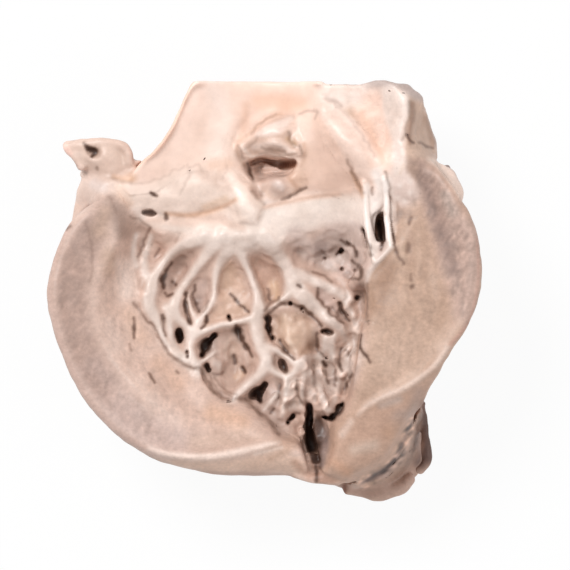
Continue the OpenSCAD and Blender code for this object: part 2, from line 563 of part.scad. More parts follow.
module atrium_solid() block([
    [31,   27.5, 12, 29, hol,     31, hol,     33.5, hol + 3, 35, a_h - 6, 37, a_h - 5, 38.5, a_h - 7, 41, a_h - 11, 43.5, 11],
    [36,   28, hol, 29.5, hol,    32, hol - 1, 34, hol + 2,  35.4, a_h - 3, 37.2, a_h - 2, 39, a_h - 5, 43, a_h - 8, 46.8, 11],
    [41,   26, hol, 28, hol,      31, hol - 1, 34, hol + 1,  36, a_h - 1, 38, a_h - 1, 39.5, a_h - 4, 43, a_h - 7, 46.2, 12],
    [46,   23, hol + 2, 26, hol,  30, hol - 1, 34, hol + 1,  36.6, a_h, 38.8, a_h, 40, a_h - 2, 42.5, a_h - 6, 44.2, 13],
    [50,   21, hol + 5, 25, hol + 1, 29, hol + 2, 33, hol + 6, 36, a_h, 38.6, a_h, 39.8, a_h - 1, 41.5, a_h - 4, 43.3, 13],
    [54,   21, a_h - 10, 24, a_h - 10, 28, a_h - 9, 32, a_h - 4, 35, a_h - 1, 37, a_h - 2, 38.5, a_h - 4, 39.5, a_h - 8, 40.5, a_h - 13],
    [55.5, 21, a_h - 18, 24, a_h - 17, 28, a_h - 16, 32, a_h - 14, 35, a_h - 13, 37, a_h - 13.5,
        38, a_h - 15, 38.6, a_h - 17, 39.2, a_h - 20]]);
module aortomitral_curtain() color(artery) difference() {
    curtain_solid();
    aorta_solid();
    root_solid();
    outflow_solid();
}
module left_atrium() color(inside) difference() { atrium_solid(); posterior_solid(); }

module rim_solid() {
    z = rear_h + a_h;
    chain([[33.4, 53.6, z - 1.5, rim_r * 0.8], [36.4, 52.6, z, rim_r], [38.2, 50, z + 0.3, rim_r],
        [38, 46.5, z + 0.4, rim_r], [37.4, 43, z, rim_r], [36.8, 40, z - 0.8, rim_r], [36.3, 37, z - 1.6, rim_r],
        [35.9, 34, z - 3.2, rim_r * 0.9], [35.6, 31.4, z - 5, rim_r * 0.9]], 1, 8);
}
module left_atrial_rim() color(cord) difference() {
    rim_solid();
    atrium_solid();
    posterior_solid();
    posterior_leaflet_solid();
}
module roof_solid() {
    z = rear_h + a_h - 2;
    chain([[27, 54.4, z - 6, 1.6], [30, 54.4, z - 3.4, 2], [33, 54.3, z - 2, 2], [36, 53.6, z - 1.6, 2],
        [39, 52.6, z - 2, 2.2], [41.4, 51, z - 4, 2.2]], 1, 8);
    chain([[27, 54, z - 9, 1.6], [30, 53.8, z - 7, 1.8], [34, 53.4, z - 6, 1.8], [39, 52, z - 6, 1.8]], 1, 8);
}
module left_atrial_roof() color(vein) difference() {
    roof_solid();
    rim_solid();
    atrium_solid();
}

module anterior_leaflet_solid() {
    z = floor_z + leaflet_z;
    r = leaflet_r;
    chain([[15.5, 46.5, z - 3, r], [18.5, 43.5, z - 1.4, r * 1.2], [21.5, 40, z - 0.8, r * 1.4],
        [24, 36.6, z - 0.4, r * 1.6], [26.4, 33.4, z, r * 1.5], [28.6, 30.4, z, r * 1.4], [29.6, 28.4, z, r * 1.2]], 1, 8);
    chain([[26, 37, z - 1, r], [29, 33.6, z - 0.4, r], [31.6, 30.2, z, r * 0.8], [32.4, 28, z, r * 0.7]], 1, 8);
}
module mitral_anterior_leaflet() color(cord) difference() {
    anterior_leaflet_solid();
    curtain_solid();
    atrium_solid();
    outflow_solid();
    aorta_solid();
}
module posterior_leaflet_solid() {
    z = posterior_z - 4;
    chain([[36, 29.4, z, 2.4], [38, 27.8, z + 0.6, 3], [39.6, 26.4, z + 0.6, 2.6], [38.6, 24.4, z, 2]], 1, 8);
    chain([[35.6, 31, z, 1.8], [35, 28, z - 1, 1.8], [35.6, 25, z - 2, 1.5]], 1, 8);
    chain([[37, 28, z - 4, 2], [38.4, 27, z - 1, 2.4], [40, 28.4, z - 1.4, 2], [41, 30, z - 2.6, 1.6]], 1, 8);
}
module mitral_posterior_leaflet() color(cord) difference() {
    posterior_leaflet_solid();
    posterior_solid();
    atrium_solid();
    anterior_leaflet_solid();
}
module papillary_solid() {
    z = posterior_z - 2.6;
    chain([[24.6, 1.5, floor_z + 2, 2], [26, 3, floor_z + 8, 2.2], [27.6, 4.8, z - 3, 2.2], [29.4, 6.8, z - 0.6, 2.2],
        [31.2, 8.6, z, 2.2], [32.8, 10.2, z, 2], [34, 11.8, z, 1.7]], 1, 8);
    chain([[26.6, 6.4, floor_z - 1, 2.4], [28, 6.8, floor_z + 6, 2.4], [29.4, 7.2, z - 4, 2.4]], 1, 8);
}
module posterior_papillary_muscle() color(cord) difference() {
    papillary_solid();
    posterior_solid();
    septal_solid();
}
module chordae_solid() {
    z = floor_z + leaflet_z;
    p = posterior_z - 2.6;
    r = chorda_r;
    chain([[28.8, 29.5, z, r * 1.3], [28, 26, z - 0.4, r * 1.1], [27.6, 22, z - 0.6, r * 1.15], [28, 17, z - 0.4, r * 1.15],
        [29, 12, p, r * 1.05], [30, 7.8, p, r]]);
    chain([[32.2, 28.6, z, r * 0.9], [33, 26, z, r * 0.7], [33.1, 20, z, r * 0.6], [33.4, 15, p + 0.2, r * 0.65], [33.9, 11.6, p, r * 0.7]]);
    chain([[26, 31, z, fine_chorda_r], [26.2, 25, z - 2.5, fine_chorda_r], [26.8, 18, z - 3, fine_chorda_r],
        [28.2, 12, p - 2, fine_chorda_r], [29, 7.6, p - 2, fine_chorda_r]]);
    chain([[30.4, 28.4, z, r], [31, 24.6, z - 0.3, r * 0.9], [29, 20.6, z - 0.6, r * 0.7]]);
    chain([[31, 24.6, z - 0.3, r * 0.8], [33, 23.4, z - 0.1, r * 0.7]]);
}
module chordae_tendineae() color(cord) difference() {
    chordae_solid();
    anterior_leaflet_solid();
    papillary_solid();
    posterior_solid();
    atrium_solid();
    curtain_solid();
    outflow_solid();
    posterior_leaflet_solid();
}

module fat_lobe_solid() {
    z = posterior_z - 13;
    chain([[43, 33, z, 4], [46.6, 31.8, z, 4], [49.2, 29.6, z, 4.2], [50.4, 26.4, z, 4.2], [50.4, 24, z - 2, 3.6]], 1, 8);
    chain([[42, 32, z - 6, 4.2], [46, 30, z - 6.5, 4.4], [48, 27, z - 7, 4.2]], 1, 8);
    chain([[41, 31, rear_h + 3, 4], [44, 29, rear_h + 3, 4], [46, 26, rear_h + 3, 3.6]], 1, 8);
}
module posterior_fat_lobe() color(fat) difference() {
    fat_lobe_solid();
    upper_fat_floor();
    posterior_solid();
    atrium_solid();
    roof_solid();
}

// ---------- the ear-shaped appendage ----------

module auricle_solid() {
    z = rear_h + 13;
    r = auricle_r;
    chain([[-38.6, 34.6, z - 2, r * 0.85], [-40.6, 35.6, z - 0.8, r * 0.95], [-43, 36.4, z, r], [-46, 36.8, z, r * 0.92],
        [-48.8, 37.6, z, r * 0.75], [-51, 38, z - 0.2, r * 0.6], [-52.4, 38, z - 0.4, r * 0.5]], 1, 8);
    chain([[-39.4, 32.6, z - 4, r * 0.8], [-43, 33.6, z - 3, r * 0.9], [-47.4, 34.6, z - 2, r * 0.7]], 1, 8);
}
module left_auricle() color(fat) difference() {
    auricle_solid();
    hull() {
        translate([-44.9, 37.3, rear_h + 11]) cylinder(r = auricle_bore_r * 0.35, h = 20, $fn = 8);
        translate([-46.2, 36.6, rear_h + 11]) cylinder(r = auricle_bore_r * 0.5, h = 20, $fn = 8);
        translate([-48.6, 39, rear_h + 11]) cylinder(r = auricle_bore_r * 0.3, h = 20, $fn = 8);
    }
    upper_fat_solid();
    root_solid();
    aorta_solid();
}

// ---------- muscle bands in the opened ventricle ----------
// each point is [x, y] or [x, y, share of the band's half width]

function lay(p, r, n) = [for (q = spline([for (v = p) [v[0], v[1], len(v) > 2 ? v[2] : 1]], n))
    [q[0], q[1], edge_z(q) + band_lift, r * q[2]]];
module band(p, r, n = 2) chain(lay(p, r, n), band_flat, 6);
module band_cut() {
    septal_solid();
    anterior_solid();
    posterior_solid();
    outflow_solid();
    lower_fat_solid();
}

module trabeculae_anterior_solid() {
    band([[-19, 13, 0.9], [-24, 11, 0.95], [-29.5, 6.5, 1.1], [-31, 0, 1.15], [-29, -6.5], [-26, -12, 0.9], [-23, -17.4, 0.8], [-20.5, -19.6, 0.6]], band_r);
    band([[-14.6, 12.8, 0.9], [-19.6, 7.2, 0.9], [-23.6, 1, 0.8], [-24.2, -4.6, 0.7], [-20.4, -9.6, 0.7], [-19.4, -14.6, 0.7], [-18.4, -21.6, 0.7]], band_r);
    band([[-9.6, 12.6, 0.9], [-13.6, 5, 0.85], [-15, -2.6, 0.75], [-17.4, -8, 0.7], [-19.8, -9.8, 0.7]], band_r);
    band([[-25.2, -3.6, 0.7], [-25.4, -8, 0.7], [-24.6, -13, 0.6]], band_r);
}
module trabeculae_anterior() color(cord) difference() {
    trabeculae_anterior_solid();
    band_cut();
}
module trabeculae_septal_solid() {
    band([[-5.4, 12.6, 0.9], [-4.8, 7, 0.9], [-1.8, 1.6, 0.8], [-2.4, -5, 0.9], [-1.8, -12, 0.95], [0.6, -17.4, 0.85], [0.6, -21.6, 0.9],
        [-3, -24.4, 0.75], [-7.4, -28, 0.7], [-9.6, -30, 0.5]], band_r);
    band([[-18.4, -11.2, 0.9], [-14.6, -10.6, 0.8], [-11, -9.4, 0.8], [-6, -8.4, 0.9], [-2.6, -7.6, 0.9]], fine_band_r, 1);
    band([[1, -15, 0.9], [4.6, -17, 0.8], [8.6, -19.8, 0.9]], fine_band_r, 1);
    band([[1, -21.6, 1.2], [5.2, -23.9], [8.8, -22.3, 1.1], [9.6, -19.6], [11.4, -18, 0.8]], fine_band_r, 1);
    band([[2, -22.4, 0.8], [2.4, -29.2, 1.2], [4.4, -33, 0.8]], fine_band_r, 1);
}
module trabeculae_septal() color(cord) difference() {
    trabeculae_septal_solid();
    band_cut();
    trabeculae_anterior_solid();
}
module trabeculae_posterior_solid() {
    band([[-0.4, 12.6], [5.6, 7.6, 1.1], [10.4, 3, 1.3], [15.6, -1.2], [20.4, -5.6, 0.8], [23.6, -10.6, 0.6], [22.6, -15.6, 0.5]], band_r);
    band([[9, 3.6, 1], [15.6, 3, 0.9], [20.6, -0.8, 1], [24, -3.6, 0.8]], fine_band_r, 1);
    band([[7, 5.6, 1.1], [5.8, 1, 1.1], [6.4, -3, 1], [10.6, -6.6, 0.9], [14.8, -9.6, 0.9], [16.4, -14, 0.8], [17.4, -18, 0.7]], fine_band_r, 1);
    band([[19.6, -5.4, 0.9], [18.4, -11, 0.9], [20, -16, 0.8]], fine_band_r, 1);
}
module trabeculae_posterior() color(cord) difference() {
    trabeculae_posterior_solid();
    band_cut();
    trabeculae_septal_solid();
}
module trabeculae_apical() color(cord) difference() {
    union() {
        band([[11.8, -18.6, 0.9], [15, -18.4, 0.8], [18, -19, 0.8], [20.6, -21, 0.7], [19.4, -25.4, 0.8], [20.6, -29.6, 0.7]], fine_band_r, 1);
        band([[11.8, -18.6, 0.9], [10.8, -26, 0.8], [10, -31.6, 0.7]], fine_band_r, 1);
        band([[14.4, -18.6, 0.9], [14.2, -22.6, 0.9], [14, -28, 0.8], [12.4, -32, 0.6]], fine_band_r, 1);
        band([[19.6, -25.6, 0.8], [17, -27.6, 1.1], [16.4, -30.6, 1.3], [16.2, -33.6, 1]], fine_band_r, 1);
    }
    band_cut();
    trabeculae_septal_solid();
    trabeculae_posterior_solid();
}

module place() translate([-middle.x, -middle.y, 0]) children();

place() right_ventricle();
place() right_atrium();
place() pulmonary_infundibulum();
place() septal_wall();
place() anterior_wall_flap();
place() posterior_wall_flap();
place() outflow_tract();
place() groove_fat_lower();
place() groove_fat_upper();
place() left_coronary_bulb();
place() anterior_fat();
place() posterior_fat_lobe();
place() aortic_root();
place() aortic_wall();
place() right_coronary_cusp();
place() left_coronary_cusp();
place() noncoronary_cusp();
place() aortomitral_curtain();
place() mitral_anterior_leaflet();
place() mitral_posterior_leaflet();
place() chordae_tendineae();
place() posterior_papillary_muscle();
place() trabeculae_anterior();
place() trabeculae_septal();
place() trabeculae_posterior();
place() trabeculae_apical();
place() left_atrium();
place() left_atrial_rim();
place() left_atrial_roof();
place() left_auricle();
place() superior_vena_cava();
place() inferior_vena_cava();
place() pulmonary_trunk();
place() coronary_sinus();
place() anterior_interventricular_artery();
place() posterior_interventricular_artery();
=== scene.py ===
import bpy
import numpy as np
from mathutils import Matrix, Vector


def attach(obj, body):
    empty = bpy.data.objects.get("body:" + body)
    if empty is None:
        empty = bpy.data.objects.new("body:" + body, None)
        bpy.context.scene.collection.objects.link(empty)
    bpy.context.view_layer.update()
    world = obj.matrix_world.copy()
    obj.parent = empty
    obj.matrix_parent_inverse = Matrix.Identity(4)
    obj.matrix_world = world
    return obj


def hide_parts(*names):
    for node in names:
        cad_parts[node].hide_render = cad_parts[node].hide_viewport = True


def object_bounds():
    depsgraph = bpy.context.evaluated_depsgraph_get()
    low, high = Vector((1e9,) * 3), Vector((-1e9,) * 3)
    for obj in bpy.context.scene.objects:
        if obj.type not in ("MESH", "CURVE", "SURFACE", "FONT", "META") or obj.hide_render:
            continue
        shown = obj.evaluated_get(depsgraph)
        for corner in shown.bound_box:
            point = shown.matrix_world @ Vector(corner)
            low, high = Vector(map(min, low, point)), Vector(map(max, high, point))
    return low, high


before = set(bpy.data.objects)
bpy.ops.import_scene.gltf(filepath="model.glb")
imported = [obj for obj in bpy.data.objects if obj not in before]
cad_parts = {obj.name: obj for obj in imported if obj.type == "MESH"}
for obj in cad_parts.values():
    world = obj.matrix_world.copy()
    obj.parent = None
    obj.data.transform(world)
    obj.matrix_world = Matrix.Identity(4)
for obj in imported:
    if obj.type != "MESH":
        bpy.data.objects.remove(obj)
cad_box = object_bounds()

import openvdb
from mathutils import Vector

# ---------------------------------------------------------------- camera, floor and lamps
# The model lies on its back on a white sheet and is looked at from straight above,
# with a long lens. A wide soft lamp stands at the upper left, a weaker one at the right.

camera = bpy.data.cameras.new("camera")
camera.sensor_width = 36
camera.lens = 36 * 2.0 / 0.1539     # from 2 m away, 0.1539 m of the scene fills the frame
camera.clip_end = 20
camera_stand = bpy.data.objects.new("camera", camera)
camera_stand.location = (0.00567, 0.0015, 2.035)
bpy.context.scene.collection.objects.link(camera_stand)
bpy.context.scene.camera = camera_stand


def srgb(code):
    """a hex colour as three numbers from 0 to 1, as written"""
    return np.array([int(code[i:i + 2], 16) / 255 for i in (1, 3, 5)])


def linear(colour):
    """sRGB numbers turned to the linear ones that shaders take"""
    c = np.asarray(colour, float)
    return np.where(c <= 0.04045, c / 12.92, ((c + 0.055) / 1.055) ** 2.4)


def add_node(tree, kind, links=(), **settings):
    """one shader node: settings are its options or input values, links are (input, output socket)"""
    made = tree.nodes.new(kind)
    for key, value in settings.items():
        if hasattr(made, key):
            setattr(made, key, value)
        else:
            made.inputs[key.replace("_", " ")].default_value = value
    for key, source in links:
        tree.links.new(source, made.inputs[key])
    return made


sheet_mesh = bpy.data.meshes.new("floor")
sheet_mesh.from_pydata([(-3, -3, 0), (3, -3, 0), (3, 3, 0), (-3, 3, 0)], [], [(0, 1, 2, 3)])
sheet = bpy.data.objects.new("floor", sheet_mesh)
bpy.context.scene.collection.objects.link(sheet)

# white paper: it shows as plain white to the camera, with a little of the model's shadow kept
paper = bpy.data.materials.new("white_paper")
paper.use_nodes = True
tree = paper.node_tree
tree.nodes.clear()
matte = add_node(tree, "ShaderNodeBsdfDiffuse", Color=(0.8, 0.8, 0.8, 1))
glow = add_node(tree, "ShaderNodeEmission", Color=(1, 1, 1, 1), Strength=1.0)
rays = add_node(tree, "ShaderNodeLightPath")
seen = add_node(tree, "ShaderNodeMath",
                [(0, rays.outputs["Is Camera Ray"]), (1, rays.outputs["Is Glossy Ray"])], operation="MAXIMUM")
share = add_node(tree, "ShaderNodeMath", [(0, seen.outputs[0])], operation="MULTIPLY")
share.inputs[1].default_value = 0.93
mixed = add_node(tree, "ShaderNodeMixShader",
                 [(0, share.outputs[0]), (1, matte.outputs[0]), (2, glow.outputs[0])])
add_node(tree, "ShaderNodeOutputMaterial", [("Surface", mixed.outputs[0])])
sheet_mesh.materials.append(paper)

for name, place, size, watts in (
        ("key", (-0.55, 0.60, 1.15), 0.55, 15.5),
        ("fill", (0.95, -0.25, 0.75), 0.9, 4.0)):
    lamp = bpy.data.lights.new(name, "AREA")
    lamp.shape = "DISK"
    lamp.size = size
    lamp.energy = watts
    stand = bpy.data.objects.new(name, lamp)
    stand.location = place
    stand.rotation_euler = (Vector((0, 0, 0.03)) - Vector(place)).to_track_quat("-Z", "Y").to_euler()
    bpy.context.scene.collection.objects.link(stand)

world = bpy.data.worlds.new("room")
world.use_nodes = True
world.node_tree.nodes["Background"].inputs["Color"].default_value = (1, 1, 1, 1)
world.node_tree.nodes["Background"].inputs["Strength"].default_value = 0.5
bpy.context.scene.world = world
bpy.context.scene.view_settings.view_transform = "Standard"

# ---------------------------------------------------------------- the print's mass
# The real model is one rigid full-colour print in plaster, sealed with clear resin. Its parts
# are fused, so they are worked here as one soft-edged mass, in a block of samples STEP mm
# apart that hold the distance to the skin, and are cut apart again where the CAD solids meet.

STEP = 0.4      # mm from sample to sample
REACH = 3.2     # mm, how far from the skin the distance is kept
SHIFT = 0.15    # mm, the photograph's frame against the CAD's along y
LOW = np.array(cad_box[0]) * 1000 - 4
SHAPE = tuple(np.ceil((np.array(cad_box[1]) * 1000 + 4 - LOW) / STEP).astype(int))
AXES = [LOW[i] + STEP * np.arange(SHAPE[i]) for i in range(3)]


def solid_points(name):
    """corner points in mm and triangles of one CAD solid"""
    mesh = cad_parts[name].data
    mesh.calc_loop_triangles()
    points = np.empty(len(mesh.vertices) * 3, np.float32)
    mesh.vertices.foreach_get("co", points)
    triangles = np.empty(len(mesh.loop_triangles) * 3, np.int32)
    mesh.loop_triangles.foreach_get("vertices", triangles)
    return points.reshape(-1, 3) * 1000, triangles.reshape(-1, 3).astype(np.uint32)


def depth_of(points, reach, **faces):
    """signed distance in mm to a closed skin, + outside, and the part of the block it fills"""
    first = np.maximum(np.floor((points.min(0) - LOW - reach) / STEP).astype(int), 0)
    last = np.minimum(np.ceil((points.max(0) - LOW + reach) / STEP).astype(int) + 1, SHAPE)
    grid = openvdb.FloatGrid.createLevelSetFromPolygons(
        points=((points - LOW) / STEP).astype(np.float32), halfWidth=reach / STEP, **faces)
    values = np.empty(last - first, np.float32)
    grid.copyToArray(values, ijk=tuple(int(v) for v in first))
    return values * STEP, tuple(slice(a, b) for a, b in zip(first, last))


def soften(block, width, spacing=STEP):
    """blurs a block of samples spacing mm apart by width mm"""
    spread = width / spacing
    half = int(2.6 * spread + 1)
    weights = np.exp(-0.5 * (np.arange(-half, half + 1) / spread) ** 2)
    weights /= weights.sum()
    for axis in range(block.ndim):
        count = block.shape[axis]
        made = np.zeros_like(block)
        for step, weight in zip(range(-half, half + 1), weights.astype(np.float32)):
            take = [slice(None)] * block.ndim
            put = [slice(None)] * block.ndim
            take[axis] = slice(max(0, step), count + min(0, step))
            put[axis] = slice(max(0, -step), count - max(0, step))
            made[tuple(put)] += weight * block[tuple(take)]
        block = made
    return block


def drawn(fill):
    """the distance block of a mass given by how full each sample is, from 0 to 1"""
    grid = openvdb.FloatGrid()
    grid.copyFromArray(fill)
    points, quads = grid.convertToQuads(isovalue=0.5)
    values, part = depth_of(points * STEP + LOW.astype(np.float32), REACH, quads=quads)
    block = np.full(SHAPE, REACH, np.float32)
    block[part] = values
    return block


def own(name):
    """distance to one CAD solid; it becomes the owner of the samples that it is nearest to"""
    points, triangles = solid_points(name)
    values, part = depth_of(points, REACH, triangles=triangles)
    closer = values < nearest[part]
    nearest[part][closer] = values[closer]
    owner[part][closer] = 1 + NAMES.index(name)
    return values, part


def fuse(names, width):
    """joins CAD solids to one mass with edges rounded by about width mm, as a distance block"""
    fill = np.zeros(SHAPE, np.float32)
    for name in names:
        values, part = own(name)
        fill[part] += np.clip(0.5 - values / STEP, 0, 1)
    return drawn(soften(np.minimum(fill, 1), width))


def join(a, b, blend):
    """the union of two distance blocks with a fillet of about blend mm"""
    h = np.maximum(blend - np.abs(a - b), 0) / blend
    return np.minimum(a, b) - h * h * blend / 4


NAMES = sorted(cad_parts)
nearest = np.full(SHAPE, 99, np.float32)
owner = np.zeros(SHAPE, np.uint8)
bands = ["trabeculae_anterior", "trabeculae_septal", "trabeculae_posterior", "trabeculae_apical"]
thin = ["aortic_wall", "right_coronary_cusp", "left_coronary_cusp", "noncoronary_cusp", "left_atrium",
        "left_atrial_rim", "left_atrial_roof", "mitral_anterior_leaflet", "mitral_posterior_leaflet",
        "chordae_tendineae", "posterior_papillary_muscle", "left_auricle", "aortomitral_curtain",
        "superior_vena_cava", "inferior_vena_cava", "pulmonary_trunk", "left_coronary_bulb"]
thick = [n for n in NAMES if n not in bands and n not in thin]
form = join(fuse(thick, 1.15), fuse(thin, 0.5), 1.0)
for name in bands:
    own(name)


def skin_height(block):
    """height of the highest skin over each x, y of the block"""
    inside = block < 0
    top = SHAPE[2] - 1 - np.argmax(inside[:, :, ::-1], axis=2)
    top = np.minimum(top, SHAPE[2] - 2)
    here = np.take_along_axis(block, top[:, :, None], 2)[:, :, 0]
    above = np.take_along_axis(block, top[:, :, None] + 1, 2)[:, :, 0]
    found = LOW[2] + STEP * (top + here / (here - above - 1e-6))
    return np.where(inside.any(2), found, 0).astype(np.float32)


# what the eye sees from above is a sheet of heights on the same samples: ground is the skin of
# the fused solids, goal the height that it gets
ground = skin_height(form)
held = (ground > 1).astype(np.float32)


def even(sheet, width):
    """blurs a sheet of heights by width mm, without drawing in the bare floor round the print"""
    return np.where(held > 0, soften(sheet * held, width) / np.maximum(soften(held, width), 0.02), sheet)


goal = ground + np.clip(even(ground, 0.5) - ground, -0.4, 0.8)

# ---------------------------------------------------------------- outflow tract and groove fat
# Under the aortic valve the wall is smooth and near white. The groove between it and the
# vessels is filled with soft cream fat, with an orange-brown line of painted shade where it
# folds in. Both are the same printed plaster, so they run into each other with rounded joins
# and no edge.

# more sheets: web for the bands laid over the heights, claim for the piece a band belongs to,
# plug for slots that are filled right up; later lists the pits
web = np.zeros(SHAPE[:2], np.float32)
claim = np.zeros(SHAPE[:2], np.uint8)
plug = np.zeros(SHAPE[:2], np.float32)
later = []

# the colours are laid on from above, on a finer sheet: paint and how far it covers, and shade
# for the brown of pits and lines, partly printed brown and partly painted shade
DOT = 0.3       # mm
SHEET = tuple(int(np.ceil((np.array(cad_box[1])[i] * 1000 + 4 - LOW[i]) / DOT)) for i in (0, 1))
paint = np.zeros(SHEET + (3,), np.float32)
cover = np.zeros(SHEET, np.float32)
shade = np.zeros(SHEET, np.float32)


def course(points, gap=0.4):
    """a smooth line through given points, each [x, y, width...], as close samples"""
    p = np.array(points, float)
    p = np.vstack([2 * p[0] - p[1], p, 2 * p[-1] - p[-2]])
    out = []
    for i in range(1, len(p) - 2):
        n = max(2, int(np.hypot(*(p[i + 1] - p[i])[:2]) / gap))
        t = (np.arange(n) / n)[:, None]
        out.append(0.5 * (2 * p[i] + (p[i + 1] - p[i - 1]) * t
                          + (2 * p[i - 1] - 5 * p[i] + 4 * p[i + 1] - p[i + 2]) * t ** 2
                          + (3 * p[i] - p[i - 1] - 3 * p[i + 1] + p[i + 2]) * t ** 3))
    return np.vstack(out + [p[-2:-1]])


def traced(points, soft, spacing):
    """how much each sample of a sheet is touched by a soft round tip led along [x, y, r]"""
    layer = np.zeros(SHEET if spacing == DOT else SHAPE[:2], np.float32)
    for x, y, r in course(points, 0.5) if len(points) > 1 else points:
        edge = soft if soft > 0 else -soft * r
        spots = []
        for middle, low, count in ((x, LOW[0], layer.shape[0]), (y + SHIFT, LOW[1], layer.shape[1])):
            first = int(np.clip((middle - r - edge - low) / spacing, 0, count - 1))
            last = int(np.clip((middle + r + edge - low) / spacing, 0, count - 1)) + 1
            spots.append((slice(first, last), low + spacing * np.arange(first, last) - middle))
        away = np.hypot(spots[0][1][:, None], spots[1][1][None, :])
        part = (spots[0][0], spots[1][0])
        np.maximum(layer[part], np.clip((r + edge - away) / max(2 * edge, 0.01), 0, 1), out=layer[part])
    return layer * layer * (3 - 2 * layer)


def patch(outline, soft, spacing):
    """a window of a sheet, and how far each of its samples lies inside a smooth closed outline"""
    limits = np.array(SHEET if spacing == DOT else SHAPE[:2])
    p = course(list(outline) + [outline[0]], 2.0)[:-1] + (0, SHIFT)
    lo = np.maximum(((p.min(0) - 3 * soft - LOW[:2]) / spacing).astype(int), 0)
    hi = np.minimum(((p.max(0) + 3 * soft - LOW[:2]) / spacing).astype(int) + 2, limits)
    x = (LOW[0] + spacing * np.arange(lo[0], hi[0]))[:, None]
    y = (LOW[1] + spacing * np.arange(lo[1], hi[1]))[None, :]
    inside = np.zeros((hi[0] - lo[0], hi[1] - lo[1]), bool)
    for (x0, y0), (x1, y1) in zip(p, np.roll(p, -1, 0)):
        if y0 != y1:
            inside ^= ((y0 > y) != (y1 > y)) & (x < (x1 - x0) * (y - y0) / (y1 - y0) + x0)
    return (slice(lo[0], hi[0]), slice(lo[1], hi[1])), soften(inside.astype(np.float32), soft, spacing)


def level(outline, reach, width, soft=1.2, through=False):
    """fills the steps and slots narrower than two reaches inside an outline, then smooths by width"""
    count = int(reach / STEP)
    closed = goal.copy()
    for pick in (np.maximum, np.minimum):
        for axis in (0, 1):
            far = closed.copy()
            for k in range(1, count + 1):
                far = pick(far, pick(np.roll(closed, k, axis), np.roll(closed, -k, axis)))
            closed = far
    part, layer = patch(outline, soft, STEP)
    smooth = even(np.maximum(closed, goal) if reach else goal, width)
    goal[part] += (smooth[part] - goal[part]) * layer
    if through:
        plug[part] = np.maximum(plug[part], layer)


def sink(outline, depth, soft=0.7):
    """lets the skin down by depth inside an outline, or lifts it where depth is below 0"""
    part, layer = patch(outline, soft, STEP)
    goal[part] -= depth * layer


def swell(x, y, rise, rx, ry, turn=0.0):
    """a soft swelling (or a dent) of half widths rx, ry"""
    c, s = np.cos(np.radians(turn)), np.sin(np.radians(turn))
    dx = AXES[0][:SHAPE[0], None] - x
    dy = AXES[1][None, :SHAPE[1]] - y - SHIFT
    bump = np.exp(-((c * dx + s * dy) / rx) ** 2 - ((c * dy - s * dx) / ry) ** 2)
    goal[:] += (rise * bump).astype(np.float32)


def area(outline, colour, strength=1.0, soft=0.8):
    """fills an outline with a colour, over what is there"""
    part, layer = patch(outline, soft, DOT)
    layer = strength * layer
    paint[part] = paint[part] * (1 - layer[..., None]) + layer[..., None] * srgb(colour)
    cover[part] = cover[part] * (1 - layer) + layer


def wash(points, colour, strength=1.0, soft=0.8):
    """draws a colour along [x, y, r], over what is there"""
    layer = strength * traced(points, soft, DOT)
    paint[:] = paint * (1 - layer[..., None]) + layer[..., None] * srgb(colour)
    cover[:] = cover * (1 - layer) + layer


def wavering(points, shake=0.16):
    """the same line as a knife or a tear leaves it, a little uneven in course and width"""
    line = course(points, 0.5) if len(points) > 1 else np.repeat(np.array(points, float), 2, 0)
    random = np.random.default_rng(int(abs(points[0][0] * 131 + points[0][1] * 17) * 10))
    noise = random.normal(0, 1, (len(line) + 2, 3))
    noise = (noise[:-2] + 1.6 * noise[1:-1] + noise[2:]) / 2.1
    line[:, :2] += shake * noise[:, :2]
    line[:, 2] *= np.clip(1 + 2 * shake * noise[:, 2], 0.55, 1.6)
    return line


def pit(points, depth, dark=0.0, shake=0.12):
    """marks a deep pit [x, y, half width], which is bored once the heights are set, and browns it by dark,
    partly as printed brown and partly as painted shade
    """
    points = wavering(points, shake)
    later.append((points, depth))
    if dark:
        line = [(x, y, 0.8 * r) for x, y, r in points]
        shade[:] = np.maximum(shade, dark * traced(line, 0.45, DOT))


def crease(points, depth, dark=0.0, soft=0.35):
    """presses a fine line into the skin along [x, y, half width], browned by dark, partly as printed brown
    and partly as painted shade
    """
    points = wavering(points)
    goal[:] -= depth * traced(points, max(soft, 0.45), STEP)
    if dark:
        line = [(x, y, max(r, 0.28)) for x, y, r in points]
        shade[:] = np.maximum(shade, dark * traced(line, max(soft, 0.42), DOT))


def ridge(points, rise, colour=None, piece=None, edge=0.5, strength=0.9):
    """lays a rounded band along [x, y, half width], with skirts that run out into the floor"""
    layer = traced(points, -edge, STEP)
    np.maximum(web, rise * (0.55 * layer + 0.3 * layer ** 3), out=web)
    if piece:
        claim[layer > 0.4] = 1 + NAMES.index(piece)
    if colour:
        wash([(p[0], p[1], p[2] * 0.8) for p in points], colour, strength, 0.75)


